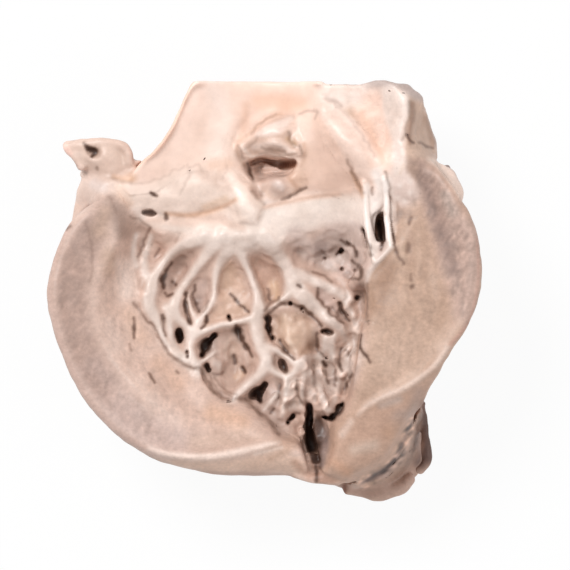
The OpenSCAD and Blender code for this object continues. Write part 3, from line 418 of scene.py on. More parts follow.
def printed(name, speckle_mm, speckle, streak_mm, streak, stretch, roughness, relief):
    """plaster print sealed with resin: speckle and streaks as parts of the ink, relief in mm"""
    made = bpy.data.materials.new(name)
    made.use_nodes = True
    tree = made.node_tree
    tree.nodes.clear()
    ink_and_painted_light_at = add_node(tree, "ShaderNodeAttribute", attribute_name="ink_and_painted_light")
    place = add_node(tree, "ShaderNodeTexCoord")
    fine = add_node(tree, "ShaderNodeTexNoise", [("Vector", place.outputs["Object"])],
                    Scale=1000 / speckle_mm, Detail=3.0, Roughness=0.6)
    pulled = add_node(tree, "ShaderNodeMapping", [("Vector", place.outputs["Object"])], Scale=stretch)
    streaks = add_node(tree, "ShaderNodeTexNoise", [("Vector", pulled.outputs[0])],
                       Scale=1000 / streak_mm, Detail=4.0, Roughness=0.65)
    fine_tone = add_node(tree, "ShaderNodeMapRange", [("Value", fine.outputs["Fac"])])
    for key, value in ((1, 0.3), (2, 0.7), (3, 1 - speckle), (4, 1 + speckle * 0.6)):
        fine_tone.inputs[key].default_value = value
    streak_tone = add_node(tree, "ShaderNodeMapRange", [("Value", streaks.outputs["Fac"])])
    for key, value in ((1, 0.3), (2, 0.7), (3, 1 - streak), (4, 1 + streak * 0.5)):
        streak_tone.inputs[key].default_value = value
    tone = add_node(tree, "ShaderNodeMath",
                    [(0, fine_tone.outputs[0]), (1, streak_tone.outputs[0])], operation="MULTIPLY")
    colour = add_node(tree, "ShaderNodeVectorMath", [(0, ink_and_painted_light_at.outputs["Color"])], operation="SCALE")
    tree.links.new(tone.outputs[0], colour.inputs["Scale"])
    gloss = add_node(tree, "ShaderNodeMapRange", [("Value", fine.outputs["Fac"])])
    for key, value in ((1, 0.3), (2, 0.7), (3, roughness - 0.05), (4, roughness + 0.07)):
        gloss.inputs[key].default_value = value
    rise = add_node(tree, "ShaderNodeMath",
                    [(0, fine.outputs["Fac"]), (1, streaks.outputs["Fac"])], operation="ADD")
    bump = add_node(tree, "ShaderNodeBump", [("Height", rise.outputs[0])],
                    Strength=0.6, Distance=relief / 1000)
    shader = add_node(tree, "ShaderNodeBsdfPrincipled",
                      [("Base Color", colour.outputs[0]), ("Roughness", gloss.outputs[0]),
                       ("Normal", bump.outputs[0])], IOR=1.5)
    add_node(tree, "ShaderNodeOutputMaterial", [("Surface", shader.outputs[0])])
    return made


TISSUES = {}


def tissue(finish, lumps=(0.35, 0.22, 0.12), **colours):
    """gives pieces of one tissue a finish, a ground colour and lumps of mm at 6, 2.6 and 1.2 mm apart"""
    for name, colour in colours.items():
        TISSUES[name] = (finish, lumps, srgb(colour))


# lining and fibre over muscle, printed pale and sealed: the whitest and smoothest skin, satin
white_fibre = printed("plaster_print_white_fibre", 0.9, 0.05, 2.0, 0.05, (1, 1, 1), 0.40, 0.08)
# fat, printed cream and sealed: soft cloudy mottling of a few millimetres under a satin skin
fat = printed("plaster_print_heart_fat", 1.0, 0.05, 3.4, 0.07, (1, 1, 1), 0.44, 0.09)
tissue(white_fibre, (0.3, 0.12, 0.04), outflow_tract="#efdcd4")
tissue(white_fibre, left_coronary_bulb="#f8e0d2")
tissue(fat, groove_fat_lower="#f0d2c3")
tissue(fat, (0.4, 0.3, 0.1), groove_fat_upper="#f2dfd5")

level([(-47, 23), (-45, 30), (-38, 31.5), (-24, 34.5), (-12, 33.5), (-6, 30), (-1, 25.6), (5, 24),
       (12, 27.5), (26, 28.5), (28.5, 22), (24, 15), (6, 12), (-20, 12.5), (-34, 17), (-42, 20)], 7.2, 1.9)
level([(-36, 20), (-30, 33), (-20, 38), (-10, 37), (-6, 30), (-1, 25.4), (12, 26), (26, 27), (26, 20),
       (6, 15), (-20, 14.5)], 4.0, 2.4)
sink([(-20, 15.6), (-17, 11.6), (-12, 10.2), (-7, 8.6), (-3, 9), (1, 8.6), (4.4, 9.4), (7, 14), (2, 18),
      (-10, 18), (-20, 18)], -1.5, 1.8)
level([(20, 12), (20, 30), (24, 36), (30, 34), (28, 24), (28.4, 14), (29, 9), (24, 8)], 4.5, 1.2, 1.0, True)
level([(33, 22), (35, 33), (40, 36), (44, 30), (44, 21), (38, 19)], 2.7, 1.8, 1.2)
swell(-5.0, 22.4, 1.2, 2.5, 4.4, 38)
swell(-18, 29.4, 0.8, 9, 2.6, -6)
swell(-30, 25.2, 0.9, 9.0, 2.4, 4)

area([(-33, 17.6), (-22, 14.6), (-18, 12.4), (-12.4, 10.4), (-7.6, 8.4), (-4.6, 9.4), (-1, 9.2), (3.4, 9.6),
      (6.4, 14), (8.6, 17.6), (12.6, 14.6), (16.4, 17.2), (20.6, 18.6), (27, 18.2), (26.8, 26), (14, 25.2),
      (5, 23.6), (-1, 22), (-4, 18), (-12, 18.6), (-22, 19.2), (-31, 19.6)], "#f3e2d8", 0.95, 1.1)
wash([(2, 20.4, 1.6), (9, 22, 1.8), (16, 23.2, 1.8), (23, 23.6, 1.6)], "#fcece2", 0.9, 1.4)
area([(-46, 31.4), (-40, 30), (-34, 28.8), (-28, 30), (-22.6, 33.6), (-15, 33), (-9, 30), (-3, 26.4),
      (-1, 22), (-4.6, 18.4), (-11, 21.4), (-17, 20.4), (-26, 20.2), (-33, 21.4), (-38.4, 24.6),
      (-42.4, 28)], "#f3dccf", 0.92, 0.9)
wash([(-17, 31.6, 1.4), (-12, 29.4, 1.8), (-8.6, 27.6, 1.2)], "#d8bcad", 0.8, 1.6)
wash([(-31, 19, 0.9), (-22, 18.4, 1.3), (-12, 18.2, 1.2), (-6, 16.8, 0.9)], "#eccfc0", 0.8, 1.0)
wash([(-7, 25.6, 1.6), (-5.4, 22.6, 2.2), (-2.8, 20, 1.9)], "#fae6da", 0.95, 0.9)
wash([(-38.6, 25.6, 1.2), (-36.4, 23.4, 1)], "#f0cdb8", 0.7, 1.2)
# painted shade: the orange-brown line along the fold of the groove fat, and a softer one beside it
wash([(-26.4, 20.6, 0.4), (-20.4, 20.2, 0.6), (-15.4, 21, 0.7), (-11, 22.6, 0.6), (-7.6, 24.4, 0.4)],
     "#ecbd9f", 0.8, 0.8)
wash([(-16, 22.4, 0.7), (-10.4, 24.6, 0.8)], "#e9c2a4", 0.5, 1.0)
wash([(0.2, 22.3, 0.5), (5.6, 23.7, 0.6), (12, 25, 0.7), (20, 25.9, 0.6)], "#f2c8b0", 0.7, 0.7)
pit([(-32.4, 20.9, 0.4), (-30.8, 20.8, 0.8), (-29.2, 20.6, 0.4)], 1.8, 0.85)
crease([(-26.9, 20.5, 0.3), (-26.6, 19.3, 0.45)], 1.2, 0.7)
crease([(-28.6, 20.6, 0.25), (-24.4, 20.4, 0.25), (-19.6, 20.1, 0.3), (-15.4, 21, 0.3), (-11.2, 22.4, 0.3),
        (-8, 24, 0.2)], 0.6, 0.12, 0.5)
crease([(-30.7, 26.1, 0.25), (-29.7, 25.7, 0.35), (-28.9, 25.4, 0.2)], 0.9, 0.95)
crease([(-0.6, 21.4, 0.35), (1.4, 22.6, 0.3), (6.8, 23.8, 0.25), (14, 25.2, 0.25), (21.4, 25.7, 0.2)], 0.7,
       0.12)
crease([(-0.3, 22.2, 0.4), (-0.4, 19.6, 0.4), (-3, 17.6, 0.4), (-6.4, 17.9, 0.3)], 0.6, 0.14, 0.5)
crease([(-8.2, 25.4, 0.3), (-8, 22.4, 0.3), (-6.8, 19.6, 0.3)], 0.5, 0.06, 0.5)
crease([(-3.1, 26.4, 0.5), (-1.6, 24.8, 0.6), (-0.2, 23.2, 0.5)], 1.0, 0.25, 0.6)
for points in (
        [(-39, 28.8, 0.3), (-35.2, 28.4, 0.35), (-31.2, 28.8, 0.35), (-27.4, 30, 0.35), (-24.4, 31.8, 0.35),
         (-21.6, 33, 0.35)],
        [(-20.6, 33, 0.3), (-20.4, 30.6, 0.4), (-21.6, 27.6, 0.4), (-22.8, 25.4, 0.3)],
        [(-20, 33.2, 0.3), (-17.8, 33.4, 0.35), (-16.2, 31.8, 0.3)]):
    ridge([(x, y - 0.5, r + 0.4) for x, y, r in points], 0.3, edge=0.9)
    crease([(x, y + 0.3, r * 0.6) for x, y, r in points], 0.35, 0.13)
crease([(-9.8, 33.4, 0.3), (-10.4, 31.4, 0.3), (-11, 29.8, 0.2)], 0.5, 0.1)
wash([(-36.6, 31.2, 1), (-35, 30.2, 0.9)], "#dfb9a1", 0.8, 1.0)

# ---------------------------------------------------------------- the ventricle's floor
# The septal wall is the floor of the opened left ventricle: lining over muscle, with a mesh of
# white muscle bands over it and deep pits between them. The print builds bands and floor up in
# the same layers of plaster, tan to dark brown.


def on_dots(sheet):
    """a sheet of the block's spacing read at the spacing of the colours"""
    i = np.clip(np.arange(SHEET[0]) * DOT / STEP, 0, SHAPE[0] - 1.01)[:, None]
    j = np.clip(np.arange(SHEET[1]) * DOT / STEP, 0, SHAPE[1] - 1.01)[None, :]
    a, b, i, j = i % 1, j % 1, i.astype(int), j.astype(int)
    return ((sheet[i, j] * (1 - a) + sheet[i + 1, j] * a) * (1 - b)
            + (sheet[i, j + 1] * (1 - a) + sheet[i + 1, j + 1] * a) * b)


def tangle(outline, rise, size, seed, pale=0.1):
    """a fine net of raised threads about size mm apart inside an outline, paler than the ground"""
    noise = soften(np.random.default_rng(seed).normal(0, 1, SHAPE[:2]).astype(np.float32), size / 3)
    threads = np.clip(1 - np.abs(noise / noise.std()) / 0.6, 0, 1) - 0.35
    part, layer = patch(outline, 1.0, STEP)
    goal[part] += rise * layer * threads[part]
    part, layer = patch(outline, 1.0, DOT)
    paint[part] *= 1 + (pale * layer * on_dots(threads)[part])[..., None]


# heart lining, printed tan and sealed: low sheen, sandy speckle and clouds of 3 mm
lining = printed("plaster_print_heart_lining", 1.1, 0.07, 3.0, 0.07, (1, 1, 1), 0.45, 0.10)
LINING = "#d2b3a4"
BAND = "#e3d1c7"
tissue(lining, (0.4, 0.5, 0.34), septal_wall=LINING)
tissue(white_fibre, (0.3, 0.26, 0.16), trabeculae_anterior="#eddcd3", trabeculae_septal="#eedcd3")
tissue(white_fibre, (0.4, 0.34, 0.24), trabeculae_posterior="#ecd9cf")
tissue(white_fibre, (0.4, 0.5, 0.4), trabeculae_apical="#e0cabf")
area([(-34, 17), (-36, 6), (-33, -6), (-27, -17), (-17, -22), (-13, -29), (-4, -31), (4, -40), (11, -33),
      (21, -34), (25, -24), (28, -12), (27, 4), (28, 14), (16, 17), (4, 11), (-12, 11)], LINING, 0.9, 1.2)

# windows between the bands, with the colour of the floor in them and how deep it lies
for outline, colour, depth in (
        ([(-22.2, 10.2), (-24.8, 8.2), (-26.9, 5), (-27.9, 2.2), (-27.8, 0), (-26.2, -1.4), (-24.4, 0.2),
          (-23, 2.8), (-21.7, 5.2), (-19.6, 8.2), (-19.4, 9.9)], "#c3a699", 1.5),
        ([(-16.4, 3.8), (-18.4, 1.6), (-19.3, -1.2), (-18.6, -4), (-17.5, -6), (-16, -3.6), (-14.8, -1.2),
          (-14.7, 2.2)], "#cfb4a9", 1.2),
        ([(-11.8, 7.8), (-12.4, 2), (-12.6, -3), (-14.4, -6.4), (-16, -9.8), (-12, -8.4), (-8, -7.6),
          (-4.8, -7), (-4.6, -2), (-6, 3.6), (-8.6, 8)], "#d3b09b", 0.9),
        ([(-4.6, 8.4), (-2.6, 4.4), (-0.6, -0.6), (1.6, -3.6), (4.6, -1.2), (4.6, 3.4), (3.2, 7.4),
          (0, 9.4)], "#c8a390", 1.2),
        ([(-28, 12.4), (-29.2, 10.4), (-30, 8.6), (-29, 9), (-27.2, 11.6)], "#c9a292", 0.7),
        ([(-17.6, -17.8), (-16.6, -14), (-13.4, -11.8), (-9.6, -10.4), (-7, -10.6), (-4.6, -15.4),
          (-3.2, -18.4), (-2.6, -21.6), (-6, -24.6), (-9.4, -27.4), (-13, -26.4), (-16, -22.4)], "#cdb0a2",
         1.6),
        ([(3.6, -6.8), (8.6, -5.8), (12.6, -8.6), (14.4, -12.4), (13, -16.6), (9.8, -18), (5.4, -15.4),
          (2.2, -11.4)], "#c6a48e", 0.4),
        ([(-3.6, -28.4), (-0.4, -25.6), (3.4, -24.2), (4.8, -27), (3.8, -32.6), (6.4, -37.6), (3.2, -37),
          (-1, -32.4)], "#c2a79c", 1.2),
        ([(14.4, 0.2), (14.5, -1.9), (16.2, -3.4), (19.5, -6.6), (21.6, -8.6), (21.8, -7.2), (19.6, -4.2),
          (18.2, -1.4), (17, 0.4)], "#cdb1a6", 0.8),
        ([(5.8, 16), (9.6, 17), (12.4, 13.6), (16.8, 16.4), (20, 17.4), (26.2, 17), (27.2, 10), (26, 4),
          (19.5, 4.2), (14, 6.4), (9.4, 9.6)], "#dbc6bd", 0.3),
        ([(12.6, -19.6), (15.2, -20.4), (15.2, -26.4), (13.4, -30.4), (11.4, -29.4), (12, -24)], "#e0cabf",
         0.7),
        ([(16.4, -20.4), (20.2, -20.6), (20.6, -26), (18, -29), (16.2, -26)], "#e0cabf", 0.6),
        ([(22, -12.4), (25.4, -11), (27.2, -16), (25, -23), (22.4, -27), (21.6, -20)], "#dcc6bb", 0.5)):
    area(outline, colour, 0.85, 0.7)
    sink(outline, depth)
# washes on the floor: the dark grey-brown ones are painted shade cast by the bands into the windows and near
# the pits; the lighter ones are floor tones
for points, colour, strength in (
        ([(-26.4, 3.2, 1), (-25.4, 1, 1)], "#a98f83", 0.75),
        ([(-17.6, -2.6, 0.8), (-17.4, -4.8, 0.5)], "#a08a82", 0.7),
        ([(-9.4, 5, 1.6), (-10.2, 1.4, 1.6)], "#c6a590", 0.7),
        ([(-7.4, -1.2, 1), (-6, -3, 0.8)], "#e2c8bb", 0.7),
        ([(2.6, 1.4, 1.2), (3.4, -1.8, 1)], "#dfbb9c", 0.8),
        ([(0.2, 6.4, 2)], "#d3b1a1", 0.6),
        ([(-14, -14.6, 1.3), (-14.4, -17, 1)], "#a18c83", 0.7),
        ([(-12.6, -20.4, 1.6)], "#bfa89d", 0.7),
        ([(-7.2, -10.8, 1.2), (-6.4, -13.2, 0.9)], "#937e75", 0.7),
        ([(-8.6, -16, 2)], "#dcc0b0", 0.6),
        ([(-7.2, -23.6, 0.8), (-6.2, -22.6, 0.8)], "#e3b692", 0.6),
        ([(6, -9.4, 1.4), (8.4, -14, 1.4)], "#dfc1ab", 0.6),
        ([(10, -9, 0.8), (11.6, -13.4, 0.8)], "#dabba7", 0.6),
        ([(13.6, -11, 0.8), (13, -14, 0.6)], "#ab9388", 0.6),
        ([(19, 13.2, 1.6), (22.8, 12.6, 1.4)], "#c4aea4", 0.5),
        ([(7.6, 13.4, 1.4), (9, 11.4, 1.6)], "#cdb5ab", 0.6),
        ([(15.4, 11, 2)], "#b5a19b", 0.6),
        ([(22.4, 5.4, 2)], "#c9b0a7", 0.8),
        ([(26.4, 0.6, 1), (26.6, -5, 1)], "#b89f95", 0.6),
        ([(3, -35.8, 1.6), (6.4, -39, 1.2)], "#c9b1a6", 0.7),
        ([(16.8, -14.6, 1.4)], "#d9c8c0", 0.6),
        ([(18.8, -23.6, 1)], "#a9928a", 0.5),
        ([(14, -28.6, 0.8)], "#8f776b", 0.5)):
    wash(points, colour, strength, 1.2)

# the bands of the front wall, thickest where they leave the outflow tract
for points, rise in (
        ([(-15.5, 14.2, 2.2), (-19.6, 13, 2), (-23.2, 11.4, 1.7), (-26.4, 8.4, 1.5), (-29, 4.6, 1.8),
          (-30.4, 0.6, 2.2), (-31, -3.6, 2.2), (-29.6, -7.2, 1.8), (-28.4, -10.2, 1.3), (-26.8, -13.8, 1),
          (-24.4, -17, 1), (-21.4, -19.4, 1.2)], 1.9),
        ([(-26.4, -4.6, 1.2), (-25.6, -8.6, 1.2), (-25.2, -11.6, 1.1), (-24.4, -14.8, 1.1),
          (-22.4, -17.6, 1.3), (-19.8, -20, 1.5)], 1.8),
        ([(-11.4, 13.8, 2.4), (-15, 10.4, 1.9), (-18, 6.4, 1.5), (-21, 2.4, 1.4), (-23.4, -1.4, 1.6),
          (-24.4, -4.8, 1.9), (-23.4, -7.6, 1.6), (-21.2, -9.8, 1.4), (-20.2, -12.6, 1.5),
          (-20.4, -15.6, 1.4), (-19.6, -18.4, 1.6), (-17.8, -21.4, 1.4)], 1.9),
        ([(-7, 13.4, 2.4), (-10.4, 9.6, 1.9), (-12.6, 5.6, 1.4), (-13.3, 1.4, 1.1), (-13.8, -2.4, 1.1),
          (-15.8, -5.8, 1.1), (-17.8, -8.8, 1.2), (-19.4, -10.8, 1.4)], 1.6),
        ([(-20.4, -1.2, 0.5), (-20.1, -4, 0.6), (-19, -6.8, 0.8), (-18.2, -8.6, 0.8)], 1.3),
        ([(-30.6, 14.6, 0.7), (-31.8, 11, 0.9), (-32.4, 7, 1.2), (-31.4, 2.6, 1.3)], 1.1),
        ([(-34.6, 14.6, 0.5), (-35.4, 10.4, 0.6), (-34.6, 6.6, 0.8)], 0.6)):
    ridge(points, rise, BAND, "trabeculae_anterior")

# the bands of the septum, with the broad central one that forks near the apex
for points, rise in (
        ([(-3.6, 13.2, 2.6), (-6.2, 10.6, 2), (-4.8, 6.8, 1.4), (-3, 2.6, 1.3), (-1.6, -1.6, 1.6),
          (-1.4, -5.6, 2.2), (-1.9, -10, 2.4), (-1, -14.6, 2.1), (0.8, -18.6, 2.1)], 1.9),
        ([(0.8, -19, 2), (-0.8, -22.4, 1.8), (-3.6, -25, 1.6), (-6.6, -27.6, 1.4), (-8.3, -29.4, 0.9)],
         2.2),
        ([(1.2, -15.2, 1), (3.8, -16.6, 1.1), (6.4, -18.4, 1), (8.6, -19.8, 1.1), (11, -18.6, 1)], 1.7),
        ([(1.2, -20.4, 1.5), (3.8, -22.6, 1.3), (6.2, -23.4, 1.3), (8.4, -21.8, 1.2), (10.4, -19.2, 1)],
         1.8),
        ([(6.2, -23.6, 1.2), (6, -27.4, 1.1), (5.4, -31, 0.9), (4.8, -34, 0.8)], 1.3),
        ([(-19.2, -12.2, 1.5), (-16, -11, 1.1), (-12.6, -9.8, 1.1), (-9.4, -9, 1), (-6.4, -8.4, 1),
          (-3.8, -7.8, 1.3)], 1.8),
        ([(-18.2, -20.4, 0.9), (-15.9, -18.7, 0.7), (-13.4, -16.9, 0.6)], 2.0),
        ([(0.4, -31.8, 0.9), (2, -30, 1), (3.6, -28.2, 0.8)], 1.6),
        ([(-10, -10.1, 0.4), (-8, -9.5, 0.4)], 2.2)):
    ridge(points, rise, BAND, "trabeculae_septal")

# the bands of the back wall, where a broad plate of them is pierced by small pits
for points, rise in (
        ([(0.6, 13.4, 2.8), (3.2, 10.2, 2.4), (5.8, 6.6, 2.3), (7.6, 3, 2.6), (9.8, -0.6, 2.8),
          (12.6, -3.6, 2.4), (15.6, -6.2, 2), (18.6, -8.8, 1.8), (21.4, -10.8, 1.5), (22.4, -13.2, 1)],
         1.9),
        ([(9, 4.6, 1.8), (12.8, 3, 1.6), (16.6, 1, 1.5), (20.4, -0.6, 1.5), (23.6, -2.6, 1.1)], 1.2),
        ([(7, 1.4, 1.8), (6.4, -1.2, 1.4), (4.8, -2.6, 0.9)], 1.5),
        ([(0.3, -6, 0.4), (2.6, -4.3, 0.35), (4.6, -2.5, 0.4)], 1.6),
        ([(21.2, -2.2, 0.6), (22.6, -4.4, 0.8), (24.2, -6.8, 0.8), (24.8, -9.4, 0.9)], 1.6),
        ([(18.8, -12.6, 1.3), (18.2, -15.6, 1.3), (18.6, -18.8, 1)], 1.2),
        ([(16.6, -13, 0.9), (16.4, -16, 0.9), (14.8, -18.2, 0.9)], 1.1)):
    ridge(points, rise, BAND, "trabeculae_posterior", strength=0.85)

# the finer web towards the apex
for points, rise in (
        ([(11.2, -18.6, 1.1), (13.6, -18.2, 0.9), (15.6, -18.8, 0.9), (18.4, -20, 0.8)], 1.2),
        ([(10.8, -19.8, 1.2), (11.2, -23.6, 1.1), (10.4, -27.6, 0.9), (9.6, -31.6, 0.8)], 1.2),
        ([(12.6, -20, 0.9), (13.4, -23.4, 0.9), (15, -26.4, 0.9)], 1.0),
        ([(15.4, -20.4, 0.8), (16.4, -23.8, 0.8), (17.8, -26.6, 0.7)], 0.9),
        ([(15, -26, 0.9), (16.2, -29, 1.2), (17.1, -31.8, 1.7)], 1.7),
        ([(20.8, -20.4, 0.8), (20.6, -24.4, 0.9), (19.6, -28.4, 0.9), (18.6, -31, 0.8)], 1.0),
        ([(24.6, -10.6, 1.3), (24.7, -11.4, 1.3)], 1.5),
        ([(24, -14, 0.9), (22.6, -17.4, 0.8), (22.4, -21.6, 0.8)], 1.0),
        ([(26.2, -8, 0.35), (27.6, -8.6, 0.3), (29.3, -8.4, 0.3)], 0.7),
        ([(8.4, -24.2, 0.8), (7.6, -28.4, 0.8), (8.2, -31.4, 0.7)], 0.9)):
    ridge(points, rise, "#ead6cb", "trabeculae_apical", strength=0.8)

for points, rise, colour in (
        ([(5.4, -7.4, 0.7), (5.8, -11, 0.8), (7.4, -14.4, 0.6)], 0.7, "#e6c9b4"),
        ([(8.2, -7, 0.6), (9, -10.4, 0.7)], 0.5, "#e2c5b2"),
        ([(10.6, -8.6, 0.5), (11.2, -12.4, 0.7), (10.6, -15.8, 0.6)], 0.6, "#dfc2b0"),
        ([(3.4, -9.4, 0.5), (3.6, -12.2, 0.5)], 0.4, None),
        ([(6.4, -13.4, 0.4), (8.6, -16.4, 0.5)], 0.6, "#e9d2c2"),
        ([(-13.2, -19.4, 1), (-12, -21, 1.1)], 0.9, "#cdb8ad"),
        ([(-9.4, -13.2, 0.7), (-10.6, -16.2, 0.8), (-9.6, -19, 0.6)], 0.7, "#dcc2b3"),
        ([(-6.6, -19, 0.5), (-6.8, -24, 0.5)], 0.5, "#dcc2b3"),
        ([(-12.6, -25.6, 0.5), (-9.6, -26, 0.5)], 0.5, None),
        ([(-5.8, -16.6, 0.6), (-4.6, -19.6, 0.5)], 0.5, "#e2ccc0"),
        ([(-10.6, 5.8, 0.5), (-9.6, 1.8, 0.5), (-10.4, -2, 0.5)], 0.4, None),
        ([(-7.2, 2.6, 0.4), (-8, -1.4, 0.4)], 0.4, None),
        ([(12.9, -21.8, 0.6), (12.2, -25, 0.6)], 0.6, None),
        ([(14.2, -22.4, 0.8), (13.6, -24, 0.6)], 0.7, None),
        ([(18.4, -22, 0.6), (19.6, -24.8, 0.7)], 0.8, "#d3bdb2"),
        ([(8, -31.6, 0.7), (9, -33, 0.6)], 0.6, "#d0bab0"),
        ([(6.8, -30.2, 0.6), (7, -32.4, 0.6)], 0.7, "#d0bab0"),
        ([(2.6, -33.6, 0.6), (4.4, -34.6, 0.6)], 0.6, None)):
    ridge(points, rise, colour, edge=0.8, strength=0.6)
tangle([(11, -18), (21, -14), (25.6, -16), (26, -22), (22, -28), (18.4, -33), (12, -31), (6, -34), (2, -31),
        (3.6, -24), (8, -24)], 1.5, 3.0, 51, 0.2)
tangle([(16, -2), (24, -1), (27, -6), (26.4, -14), (22, -14), (18, -9)], 0.9, 2.6, 52, 0.15)
tangle([(6, 15), (14, 12), (26, 14), (26.8, 4), (18, 3), (9, 9)], 0.7, 3.4, 53, 0.12)
tangle([(-34, 14), (-30, 16), (-30, 2), (-31, -8), (-34, -4), (-35, 6)], 0.7, 3.0, 54, 0.1)
tangle([(-31, -8), (-26, -15), (-18, -22), (-10, -30), (-2, -32), (3, -38), (-1, -37), (-12, -31),
        (-21, -24), (-30, -13)], 0.9, 2.4, 55, 0.15)

# fine creases that show as brown lines, partly printed brown and partly painted shade: [x, y, half width],
# depth, how dark
for points, depth, dark in (
        ([(-24.9, 7.6, 0.25), (-26.6, 4.6, 0.35), (-27.6, 1.6, 0.55), (-27.6, 0.2, 0.4)], 0.9, 0.85),
        ([(-24.7, 2.2, 0.35), (-24.3, 1.5, 0.35)], 0.5, 0.65),
        ([(-27, -0.9, 0.25), (-26.1, -1.7, 0.35), (-24.9, -0.9, 0.25)], 0.7, 0.7),
        ([(-18.5, 1.2, 0.25), (-19.1, -1.2, 0.35), (-18.4, -4, 0.4), (-17.6, -5.9, 0.3)], 0.9, 0.75),
        ([(-21.1, -0.6, 0.3), (-21.4, -3.6, 0.4), (-21, -6.2, 0.45), (-19.9, -8.9, 0.35)], 1.4, 0.85),
        ([(-27.3, -6.9, 0.3), (-27.1, -8.6, 0.4), (-26.9, -12.4, 0.25)], 1.2, 0.6),
        ([(-27.2, -7.7, 0.35)], 0.6, 1.0),
        ([(-15.4, -7, 0.35), (-16, -9.6, 0.55), (-16.9, -10.6, 0.3)], 1.4, 0.9),
        ([(-9.3, -1.3, 0.2), (-7.5, -2.5, 0.3), (-6.3, -3.9, 0.3), (-4.3, -5.7, 0.2)], 0.8, 0.85),
        ([(-7.6, -9.8, 0.45), (-6.3, -13.2, 0.6), (-4.8, -15.6, 0.45), (-3.2, -18.4, 0.25)], 1.6, 0.75),
        ([(-8.1, -18.2, 0.35), (-7.9, -20, 0.45)], 1.4, 0.75),
        ([(-5.7, -21.2, 0.6), (-5.1, -22.2, 0.5)], 1.8, 0.9),
        ([(-14.3, -22.4, 0.25), (-12.6, -23, 0.3), (-11.3, -22, 0.25)], 0.7, 0.5),
        ([(2.4, -31.9, 0.2), (1.7, -33.2, 0.25)], 0.8, 0.8),
        ([(8, -33.7, 0.25), (9.4, -33.6, 0.2)], 0.7, 0.7),
        ([(4.2, -13.4, 0.35), (5.3, -16, 0.5), (8, -18.7, 0.25)], 1.5, 0.8),
        ([(0.9, -6.6, 0.2), (2.8, -5.2, 0.2), (4.6, -3.6, 0.2)], 0.9, 0.7),
        ([(0.1, -5.4, 0.15), (4.2, -2, 0.15)], 0.4, 0.5),
        ([(3.2, -4.6, 0.25), (4.8, -3.5, 0.3), (6.4, -3.3, 0.25)], 0.7, 0.55),
        ([(1, 0.2, 0.2), (1.4, -2.6, 0.3)], 0.6, 0.6),
        ([(8, -3.9, 0.3), (9.6, -4.5, 0.3), (11.2, -5.4, 0.35), (14.2, -7.9, 0.5), (15.4, -10, 0.4)], 1.2,
         0.7),
        ([(14.6, -12, 0.3), (14.2, -14.4, 0.35), (15.2, -17, 0.35), (17.2, -18.4, 0.3)], 0.9, 0.65),
        ([(9, 1.4, 0.25), (9.9, 0.6, 0.3)], 1.0, 0.85),
        ([(20.3, -3.4, 0.35), (21.3, -5.8, 0.5), (23, -8.4, 0.3)], 1.6, 0.85),
        ([(14.5, 0.4, 0.25), (14.5, -1.8, 0.35), (15.8, -3.2, 0.3), (18.4, -6.8, 0.2), (21.6, -9, 0.2)],
         0.8, 0.6),
        ([(20.9, 13.2, 0.35), (23.2, 12, 0.45), (24.6, 10.6, 0.45), (25, 9, 0.35)], 0.8, 0.75),
        ([(23.8, 8, 0.25), (25.6, 6.6, 0.4), (26.3, 5, 0.45), (25.6, 3, 0.35), (23.6, 3, 0.25)], 0.8, 0.7),
        ([(13.3, 4.7, 0.2), (16, 3.8, 0.2), (18.5, 2.2, 0.3)], 0.6, 0.45),
        ([(15.4, 10.8, 0.2), (17.4, 9, 0.25)], 0.4, 0.4),
        ([(26.5, 16.4, 0.35), (28, 12.8, 0.35), (29, 9.2, 0.4)], 1.4, 0.8),
        ([(18.4, -4.6, 0.2), (20, -7, 0.2)], 0.4, 0.4),
        ([(16.2, -19.6, 0.3), (16.7, -20.6, 0.35)], 1.2, 1.0),
        ([(22, -15.9, 0.2), (23.4, -18.2, 0.2)], 0.5, 0.45),
        ([(21.2, -15.7, 0.25), (20.5, -17.4, 0.3), (20.5, -20, 0.35), (21.2, -21.8, 0.25)], 1.0, 0.75),
        ([(26.3, -12.1, 0.25), (25.7, -15.4, 0.3), (27.6, -17.6, 0.25), (28.6, -19.8, 0.25)], 0.9, 0.8),
        ([(23.9, -22.4, 0.3), (23, -24.6, 0.4), (21.6, -26.8, 0.35)], 1.0, 0.7),
        ([(13.2, -20.6, 0.3), (14.4, -27.4, 0.5)], 0.7, 0.4),
        ([(9, -24.6, 0.3), (9.2, -28.4, 0.35), (10.8, -31, 0.4)], 0.8, 0.55),
        ([(4.4, -25.2, 0.3), (4.2, -29, 0.4)], 0.9, 0.6),
        ([(16.6, -21.8, 0.25), (17.4, -25.4, 0.3)], 0.7, 0.5),
        ([(19.4, -21.6, 0.25), (19, -26, 0.3)], 0.7, 0.5),
        ([(-30.9, 16.8, 0.25), (-32.3, 14.2, 0.35), (-33.3, 11.5, 0.3), (-34, 9.2, 0.25)], 0.8, 0.5),
        ([(-36.2, 20, 0.2), (-33, 18.6, 0.2), (-30.6, 17, 0.25)], 0.5, 0.3),
        ([(-28.4, 11.2, 0.3), (-29.4, 9.2, 0.25)], 0.6, 0.5),
        ([(-23.7, 13.2, 0.25), (-22.6, 15, 0.3)], 0.4, 0.2),
        ([(-16.6, -5.6, 0.2), (-15, -3.2, 0.2)], 0.4, 0.3)):
    crease(points, depth, dark)
